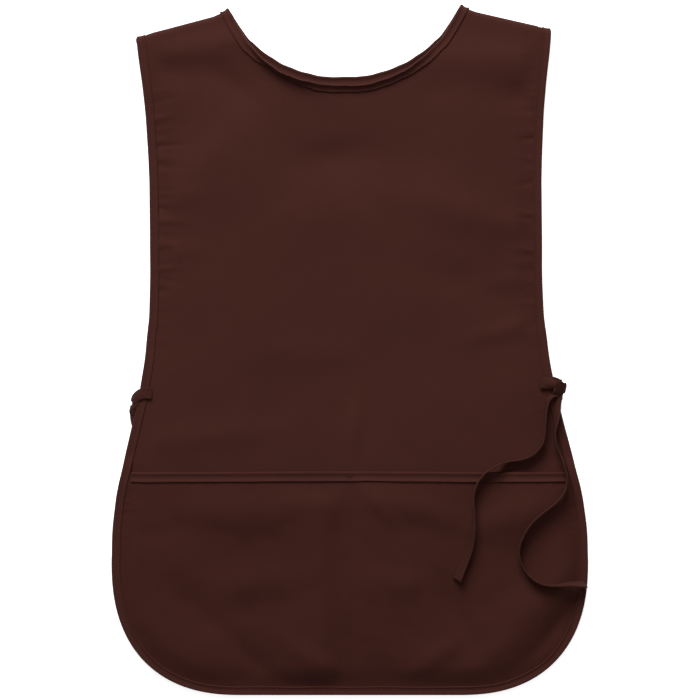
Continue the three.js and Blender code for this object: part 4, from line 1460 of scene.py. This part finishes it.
def spline(points: Array, each: int) -> Array:
    """A smooth curve through points, with the speed of a centripetal spline.

    Args:
        points: the points, with any number of columns, the first three in space.
        each: how many steps between two of them.

    Returns:
        The curve's points.
    """
    ends = np.vstack([2 * points[0] - points[1], points, 2 * points[-1] - points[-2]])
    made = []
    t = np.linspace(0, 1, each, endpoint=False)[:, None]
    for p0, p1, p2, p3 in zip(ends, ends[1:], ends[2:], ends[3:]):
        pairs = ((p0, p1), (p1, p2), (p2, p3))
        d0, d1, d2 = (max(np.linalg.norm((b - a)[:3]), 1e-4) ** 0.5 for a, b in pairs)
        m1 = ((p1 - p0) / d0 - (p2 - p0) / (d0 + d1) + (p2 - p1) / d1) * d1
        m2 = ((p2 - p1) / d1 - (p3 - p1) / (d1 + d2) + (p3 - p2) / d2) * d1
        a, b = 2 * p1 - 2 * p2 + m1 + m2, -3 * p1 + 3 * p2 - 2 * m1 - m2
        made.append(((a * t + b) * t + m1) * t + p1)
    return np.vstack([*made, points[-1:]])


@dataclass(frozen=True)
class Tape:
    """A flat woven tape swept along a line."""

    # Half of the section: share of the half width, share of the thickness
    SKIN = (
        (-1, 0), (-0.96, 0.42), (-0.8, 0.36), (-0.3, 0.42), (0.3, 0.42), (0.8, 0.36), (0.96, 0.42),
        (1, 0),
    )
    PLUMP = 1.1
    # Uneven cupping: seed, wavelength and height in millimetres
    UNEVEN = (41, 40, 0.3)
    LEVEL = 0.4

    name: str
    thick: float = 0.9

    def frames(self, line: Array, turn: Array) -> tuple[Array, Array]:
        """Directions across the tape and out of its face.

        Args:
            line: points in space.
            turn: degrees from standing on its edge.

        Returns:
            Unit vectors across the width, and through the thickness.
        """
        along = unit(np.gradient(line, axis=0))
        flat = unit(np.cross(UP, along))
        angle = np.radians(turn)[:, None]
        across = np.cross(along, flat) * np.cos(angle) + flat * np.sin(angle)
        return across, np.cross(along, across)

    def rings(self, line: Array, turn: Array, width: Array, cup: Array) -> Array:
        """Rings of points along the tape.

        Args:
            line: the tape's middle line.
            turn: turn round that line in degrees.
            width: width at each point.
            cup: how far the sides stand up.

        Returns:
            Rings of points in space.
        """
        across, thick = self.frames(line, turn)
        upper = np.array(self.SKIN)
        lower = upper[1:-1][::-1] * [1, -1]
        section = np.vstack([upper, lower])
        seed, wavelength, height = self.UNEVEN
        uneven = height * Waves(seed, wavelength).read(arc_lengths(line))
        cup = (cup + uneven * width / width.max())[:, None]
        share, skin = section[None, :, 0], section[None, :, 1]
        wide = share * width[:, None] / 2
        deep = skin * self.thick * self.PLUMP + cup * (share**2 - self.LEVEL)
        return line[:, None] + wide[..., None] * across[:, None] + deep[..., None] * thick[:, None]

    def mesh(self, shop: Workshop, curve: Array) -> bpy.types.Object:
        """Makes the tape with closed ends.

        Args:
            shop: the workshop.
            curve: rows of a point in space, the turn, the width and the cup of the section.

        Returns:
            The new object.
        """
        rings = self.rings(curve[:, :3], *curve[:, 3:].T)
        count, around = rings.shape[:2]
        faces = grid_faces(count, around, closed=True)
        k = np.arange(1, around // 2 - 1)
        cap = np.stack([k, k + 1, around - k - 1, around - k], axis=1)
        faces = np.vstack([faces, cap, cap + (count - 1) * around])
        piece = shop.mesh(f"{self.name}_tape", rings.reshape(-1, 3), faces, TAPE, Slot.TAPE)
        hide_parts(self.name)
        return piece


@dataclass(frozen=True)
class Tail:
    """The free end of a tie: its route, what it lies on and where it goes into its knot."""

    STEPS = 10
    KEPT = 3

    name: str
    route: Sequence[Stop]
    face: Face
    tuck: Stop

    def build(self, shop: Workshop, lay: Lay) -> bpy.types.Object:
        """Makes the tail.

        Args:
            shop: the workshop.
            lay: how the cloth lies.

        Returns:
            The new object.
        """
        s = lay.size
        stops = np.array([(stop.x, stop.y, stop.turn) for stop in self.route])
        angle = np.radians(stops[:, 2])
        spread = smooth(np.arange(len(stops)), 0, s.bunched_stops)
        width = s.tape * lerp(s.bunched_share, 1, spread)
        half = (width * np.cos(angle) + s.tail_thick * np.sin(np.abs(angle))) / 2
        z = lay.bridged(self.face, stops[:, 0], stops[:, 1]) + s.rest_gap + half
        stops = np.column_stack([stops[:, :2], z, stops[:, 2], width, 0 * z])
        tuck = self.tuck
        inside = np.array([[tuck.x, tuck.y, z[0] - s.cloth, tuck.turn, width[0], 0]])
        curve = spline(np.vstack([inside, stops]), self.STEPS)
        piece = Tape(self.name, s.tail_thick).mesh(shop, curve)
        return piece


@dataclass(frozen=True)
class TieRow:
    """A tie's point: out from the edge, along to the neck, rise, turn, share of width, cup."""

    out: float
    along: float
    rise: float
    turn: float
    width: float
    cup: float = 0


TIES = {
    "left_front_tie": (
        TieRow(-13.2, 0, 0, 90, 1), TieRow(-9.5, 0, 0, 90, 1), TieRow(-5.5, 0, 0.2, 90, 1, -0.4),
        TieRow(-1, -2.2, 0.4, 86, 0.86, -1.2), TieRow(1.8, -5.2, 0.1, 78, 0.7, -1.4),
        TieRow(3.6, -10, -0.6, 74, 0.5, -0.8),
    ),
    "right_front_tie": (
        TieRow(-15, -0.5, 0, 90, 1), TieRow(-11, -0.6, 1.2, 88, 1, -0.8),
        TieRow(-6.5, -1.2, 3.2, 82, 0.98, -2), TieRow(-1.5, -2.6, 5, 74, 0.86, -2.4),
        TieRow(2.4, -5, 5.4, 68, 0.7, -1.8), TieRow(4.6, -9, 4.6, 62, 0.55, -1),
    ),
    "left_back_tie": (
        TieRow(-18, 0, 0, 90, 1), TieRow(-9, 0, 0, 90, 1), TieRow(-1, -2, 0, 90, 1),
        TieRow(2.6, -4.6, 0, 90, 0.8), TieRow(4.4, -9.5, 0.2, 90, 0.6),
    ),
    "right_back_tie": (
        TieRow(-18, 0, 0, 90, 1), TieRow(-9, 0, 0, 90, 1), TieRow(-1, 0, 0, 90, 1),
        TieRow(3, -0.5, 0.2, 90, 0.85), TieRow(6.5, -2, 0.7, 90, 0.7),
    ),
}


@dataclass(frozen=True)
class Tie:
    """The stitched end of a tape, from its stitches over the edge to the knot."""

    STEPS = 8
    # Box of stitches: where it starts and ends along the tape, and its half width
    SEWN_FROM, SEWN_TO, SEWN_HALF = 1.2, 7.5, 4.6
    SEWN_HEIGHT = 0.55

    name: str
    side: int

    def build(self, shop: Workshop, lay: Lay, stitches: Stitches | None) -> bpy.types.Object:
        """Makes the tie.

        Args:
            shop: the workshop.
            lay: how the cloth lies.
            stitches: takes the box of stitches, or None to leave it out.

        Returns:
            The new object.
        """
        s = lay.size
        level = s.left_tie if self.side < 0 else s.right_tie
        rows = TIES[self.name]
        y = np.array([level + row.along for row in rows])
        out = np.array([row.out for row in rows])
        x = lay.pattern.side_edge(y, self.side) + self.side * out
        gap = s.rest_gap + s.cloth / 2
        if "front" in self.name:
            beside = lay.pattern.side_edge(np.array(level), self.side)
            edge = lay.front.read(beside, np.array(level))
            on_cloth = lay.bridged(lay.top_face, x, y) + gap
            rest = np.where(out < 0, on_cloth, float(edge) + s.outer_face + gap)
        else:
            rest = np.full(len(rows), s.cloth / 2)
        z = rest + np.array([row.rise for row in rows])
        shape = [(row.turn, row.width * s.tape, row.cup) for row in rows]
        curve = spline(np.column_stack([x, y, z, np.array(shape)]), self.STEPS)
        piece = Tape(self.name).mesh(shop, curve)
        if stitches:
            self.sew(stitches, curve)
        return piece

    def sew(self, stitches: Stitches, curve: Array) -> None:
        """Sews the flat end down with a box of stitches.

        Args:
            stitches: takes the rows.
            curve: the tie's curve, from its sewn end.
        """
        start = curve[0, :3] + [0, 0, self.SEWN_HEIGHT]
        low, high, half = self.SEWN_FROM, self.SEWN_TO, self.SEWN_HALF
        box = ((low, -half), (low, half), (high, half), (high, -half), (low, -half))
        corners = [start + np.array([self.side * a, b, 0]) for a, b in box]
        for a, b in zip(corners, corners[1:]):
            stitches.row(np.array([a, b]))


@dataclass(frozen=True)
class Knot:
    """Two tapes tied tightly round each other, as bands wound on a full core.

    It lies out from the edge and along it from the tie's level, at a height, with three sizes of
    its own, a lean in degrees, and a rise across and along.
    """

    name: str
    side: int
    out: float
    along: float
    height: float
    width: float
    length: float
    depth: float
    lean: float
    rise: tuple[float, float]

    # Each band: tilt and twist of its ring in degrees, slide, half width, how far out
    BANDS = (
        (24, 8, -0.46, 0.27, 0.98), (-30, -12, 0.02, 0.27, 1.06), (20, 15, 0.5, 0.25, 0.96),
        (74, 30, 0.1, 0.18, 0.94),
    )
    CORE = 0.74
    ROWS, COLUMNS = 70, 96
    POLE = 0.03
    # A band's section: how round it is, how deep its sides fall, and where they start and end
    ROUND = (0.05, 0.5, 0.86, 1.1)

    def build(self, shop: Workshop, lay: Lay) -> bpy.types.Object:
        """Makes the lumpy surface.

        Args:
            shop: the workshop.
            lay: how the cloth lies.

        Returns:
            The new object.
        """
        y = (lay.size.left_tie if self.side < 0 else lay.size.right_tie) + self.along
        x = float(lay.pattern.side_edge(np.array(y), self.side)) + self.side * self.out
        polar = np.linspace(self.POLE, math.pi - self.POLE, self.ROWS)[:, None]
        turn = np.linspace(0, 2 * math.pi, self.COLUMNS, endpoint=False)[None]
        wide, level = np.sin(polar), np.cos(polar) + 0 * turn
        ball = np.stack([wide * np.cos(turn), level, wide * np.sin(turn)], axis=-1)
        ball *= self.lumps(ball)[..., None]
        ball *= [self.width / 2, self.length / 2, self.depth / 2]
        cos, sin = math.cos(math.radians(self.lean)), math.sin(math.radians(self.lean))
        points = (ball @ np.array([[cos, -sin, 0], [sin, cos, 0], [0, 0, 1]]).T).reshape(-1, 3)
        points[:, 2] += points[:, :2] @ np.array(self.rise)
        points += [x, y, self.height]
        faces = grid_faces(self.ROWS, self.COLUMNS, closed=True)
        piece = shop.mesh(f"{self.name}_tape", points, faces, TAPE, Slot.TAPE)
        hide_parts(self.name)
        return piece

    def lumps(self, ball: Array) -> Array:
        """How far out the knot's surface lies in each direction.

        Args:
            ball: directions from the middle.

        Returns:
            Shares of the full size.
        """
        middle, side, start, end = self.ROUND
        out = np.full(ball.shape[:2], self.CORE)
        for tilt, twist, slide, half, level in self.BANDS:
            a, b = math.radians(tilt), math.radians(twist)
            square = np.array([math.sin(a), math.cos(a) * math.cos(b), math.cos(a) * math.sin(b)])
            away = (ball @ square - slide) / half
            edge = smooth(np.abs(away), start, end)
            out = np.maximum(out, level * (1 - middle * away**2 - side * edge))
        return out


KNOTS = (
    Knot("left_knot", -1, 1.7, -15, 7, 9.8, 20.5, 9, -13, (0.2, 0.1)),
    Knot("right_knot", 1, 3.4, -8.6, 12.6, 13.6, 26, 9.5, -9, (-0.1, 0.8)),
)


@dataclass(frozen=True)
class Lamp:
    """A soft square light: where it hangs, its size in metres and its power in watts."""

    name: str
    place: tuple[float, float, float]
    size: float
    power: float

    def hang(self) -> None:
        """Adds the light, looking at the apron."""
        data = bpy.data.lights.new(self.name, "AREA")
        data.size, data.energy = self.size, self.power
        lamp = add_object(self.name, data)
        lamp.location = self.place
        lamp.rotation_euler = (-Vector(self.place)).to_track_quat("-Z", "Y").to_euler()


class Studio:
    """The floor, the lights and the camera, in metres."""

    DISTANCE = 3.4
    # Height at which the picture is as wide as SEEN
    LEVEL, SEEN = 0.012, 0.7195
    SHIFT = (0.0002, -0.0001)
    SENSOR = 36
    FAR = 50
    FLOOR_HALF = 4.0
    PALE = (0.96, 0.96, 0.96, 1)
    WHITE = (1, 1, 1, 1)
    GLOW, SKY = 0.72, 0.2
    # The key light comes low from beyond the neck
    LAMPS = (Lamp("key", (-0.5, 2.32, 2.14), 1.7, 123), Lamp("above", (0.3, 0.2, 3.0), 2.4, 14))

    def camera(self) -> None:
        """Puts the camera straight above, as the photograph was taken."""
        data = bpy.data.cameras.new("camera")
        data.sensor_width = self.SENSOR
        data.lens = self.SENSOR * (self.DISTANCE - self.LEVEL) / self.SEEN
        data.clip_end = self.FAR
        camera = add_object("camera", data)
        camera.location = (*self.SHIFT, self.DISTANCE)
        bpy.context.scene.camera = camera

    def floor(self) -> None:
        """Lays the apron on a pale floor, which glows a little so that it looks white."""
        data = bpy.data.meshes.new("floor")
        half = self.FLOOR_HALF
        corners = [(-half, -half, 0), (half, -half, 0), (half, half, 0), (-half, half, 0)]
        data.from_pydata(corners, [], [(0, 1, 2, 3)])
        material = bpy.data.materials.new("floor")
        material.use_nodes = True
        shader = material.node_tree.nodes["Principled BSDF"]
        shader.inputs["Base Color"].default_value = self.PALE
        shader.inputs["Roughness"].default_value = 1.0
        shader.inputs["Emission Color"].default_value = self.WHITE
        shader.inputs["Emission Strength"].default_value = self.GLOW
        shader.inputs["Specular IOR Level"].default_value = 0.0
        data.materials.append(material)
        add_object("floor", data)

    def lights(self) -> None:
        """Hangs the lamps and adds a pale sky."""
        for lamp in self.LAMPS:
            lamp.hang()
        world = bpy.data.worlds.new("sky")
        world.use_nodes = True
        world.node_tree.nodes["Background"].inputs["Color"].default_value = self.WHITE
        world.node_tree.nodes["Background"].inputs["Strength"].default_value = self.SKY
        bpy.context.scene.world = world
        bpy.context.scene.view_settings.view_transform = "Standard"


# Steps along the bindings in millimetres
EDGE_STEP, POCKET_STEP = 2.6, 2.4
# The standing neckline in millimetres, and the share of it that its stitches rise
NECK_LIFT, NECK_BUMP, ROLL_SHARE = 6.2, 1.6, 0.08
# Where it rises and falls again, and where its bump is, in shares of its length
NECK_RISES, NECK_FALLS, NECK_BUMP_AT = (0.1, 0.24), (0.66, 0.92), (0.28, 0.1)
# The pocket's seam, and the bar across its top
SEAM_HALF, SEAM_LIFT, SEAM_END, SEAM_POINTS = 0.9, 0.15, 2, 120
BAR_ROWS, BAR_POINTS, BAR_HALF, BAR_START, BAR_PITCH, BAR_FACE = 4, 5, 3.4, 2.2, 0.7, 1.02


def neck_roll(count: int) -> Array:
    """How far the front neckline stands up in millimetres, from its left end to its right one.

    Args:
        count: number of points along the neckline.

    Returns:
        Heights in millimetres.
    """
    share = np.linspace(0, 1, count)
    lifted = NECK_LIFT * smooth(share, *NECK_RISES) * (1 - smooth(share, *NECK_FALLS))
    return lifted + NECK_BUMP * bell(share, *NECK_BUMP_AT)


def line_on(
    lay: Lay, side: int, path: Array, turn: int, into: Array | float, out: Array | float
) -> Array:
    """A line beside an edge, on the face of the cloth.

    Args:
        lay: how the cloth lies.
        side: 1 for the front, -1 for the back.
        path: the edge on the pattern.
        turn: 1 if the cloth is on the left of the path, -1 if on the right.
        into: distance from the edge.
        out: height over the middle of the cloth.

    Returns:
        Points in space.
    """
    square = inwards(path, turn)
    x, y = path[:, 0] + square[:, 0] * into, path[:, 1] + square[:, 1] * into
    return lay.place(side, x, y, np.broadcast_to(np.asarray(out, dtype=float), x.shape))


def build_bindings(shop: Workshop, lay: Lay) -> None:
    """Makes the four bindings and their rows of stitches.

    Args:
        shop: the workshop.
        lay: how the cloth lies.
    """
    s, pattern = lay.size, lay.pattern
    outline = resample(pattern.outline, EDGE_STEP)
    front = Binding("front_edge_binding", lay, Binding.CREASED, s.binding)
    front.mesh(shop, front.rings(outline, 1, 1, raised=True), loop=False)
    back = Binding("back_edge_binding", lay, Binding.FLAT, s.binding)
    back.mesh(shop, back.rings(outline, -1, 1), loop=False)
    neck = Binding("neck_binding", lay, Binding.RIDGED, s.binding)
    roll = neck_roll(len(pattern.front_neck))
    before = neck.rings(pattern.front_neck, 1, -1, roll=roll)
    behind = neck.rings(pattern.back_neck[1:-1][::-1], -1, 1)
    neck.mesh(shop, np.concatenate([before, behind]), loop=True)
    edge = Binding("pocket_binding", lay, Binding.RIDGED, s.pocket_binding)
    inside = s.binding + s.clearance * 2
    level = np.array(s.pocket_depth)
    ends = [float(pattern.side_edge(level, side)) - side * inside for side in (-1, 1)]
    xs = np.arange(ends[0], ends[1] + 1.0, POCKET_STEP)
    top = np.stack([xs, pattern.pocket_top(xs)], axis=1)
    rings = edge.rings(top, 1, -1)
    section = edge.section()
    rings[..., 2] += lay.stand.read(top[:, :1], top[:, 1:] - section[None, :, 0])
    edge.mesh(shop, rings, loop=False)
    stitches = Stitches("edge_stitches", Slot.BINDING)
    into = s.binding * Binding.STITCHED
    low, face = s.outer_face * Binding.SUNK, s.outer_face * Binding.FACE
    raised = low + lay.under.read(outline[:, 0], outline[:, 1])
    stitches.row(line_on(lay, 1, outline, 1, into, raised))
    stitches.row(line_on(lay, -1, outline, 1, into, low))
    standing = into * np.sqrt(1 - (roll / s.binding) ** 2)
    stitches.row(line_on(lay, 1, pattern.front_neck, -1, standing, face + roll * ROLL_SHARE))
    stitches.row(line_on(lay, -1, pattern.back_neck, -1, into, face))
    into = s.pocket_binding * Binding.STITCHED
    line = line_on(lay, 1, top, -1, into, face)
    line[:, 2] += lay.stand.read(top[:, 0], top[:, 1] - into)
    stitches.row(line)
    stitches.mesh(shop)


def build_pocket_seam(shop: Workshop, lay: Lay, pocket: Pocket) -> None:
    """Sews the pocket down its middle with two rows, and a small bar across their top.

    Args:
        shop: the workshop.
        lay: how the cloth lies.
        pocket: the pocket that is sewn down.
    """
    s = lay.size
    seam = Stitches("pocket_seam", Slot.CLOTH)
    y = np.linspace(s.binding, s.pocket_depth - SEAM_END, SEAM_POINTS)
    for x in (-SEAM_HALF, SEAM_HALF):
        xs = np.full_like(y, x)
        on_binding = lay.stand.read(xs, y) + s.outer_face
        on_cloth = pocket.lift(xs, y) + SEAM_LIFT
        lift = np.where(y > s.pocket_depth - s.binding, on_binding, on_cloth)
        seam.row(lay.place(1, xs, y, lift))
    for k in range(BAR_ROWS):
        xs = np.linspace(-BAR_HALF, BAR_HALF, BAR_POINTS)
        ys = np.full_like(xs, s.pocket_depth - BAR_START - k * BAR_PITCH)
        seam.row(lay.place(1, xs, ys, lay.stand.read(xs, ys) + s.outer_face * BAR_FACE))
    seam.mesh(shop)


def main() -> None:
    """Builds the apron piece by piece."""
    logging.basicConfig(level=logging.INFO, format="%(name)s: %(message)s")
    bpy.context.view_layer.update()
    size = Sizes()
    lay = Lay(Pattern(size))
    shop = Workshop(size)
    studio = Studio()
    studio.camera()
    over, between = lay.top_face, lay.back_top_face
    Tail("right_tail_a", RIGHT_TAIL_A, over, Stop(216.5, 313, 50)).build(shop, lay)
    Tail("right_tail_b", RIGHT_TAIL_B, over, Stop(217.4, 314, 60)).build(shop, lay)
    Tail("left_tail_a", LEFT_TAIL_A, between, Stop(-224.8, 294.5)).build(shop, lay)
    Tail("left_tail_b", LEFT_TAIL_B, between, Stop(-224.2, 299.2)).build(shop, lay)
    front = Panel("front_panel", 1, lay, 250, 340)
    front.dress(front.mesh(shop), ["back_panel"])
    back = Panel("back_panel", -1, lay, 130, 180)
    back.dress(back.mesh(shop), ["floor"])
    pocket = Pocket("pocket_panel", 1, lay, 240, 120)
    pocket.dress(pocket.mesh(shop))
    build_bindings(shop, lay)
    build_pocket_seam(shop, lay, pocket)
    ends = Stitches("tie_stitches", Slot.TAPE)
    Tie("left_front_tie", -1).build(shop, lay, ends)
    Tie("right_front_tie", 1).build(shop, lay, ends)
    Tie("left_back_tie", -1).build(shop, lay, None)
    Tie("right_back_tie", 1).build(shop, lay, None)
    ends.mesh(shop)
    for knot in KNOTS:
        knot.build(shop, lay)
    studio.floor()
    studio.lights()


if __name__ == "__main__":
    main()
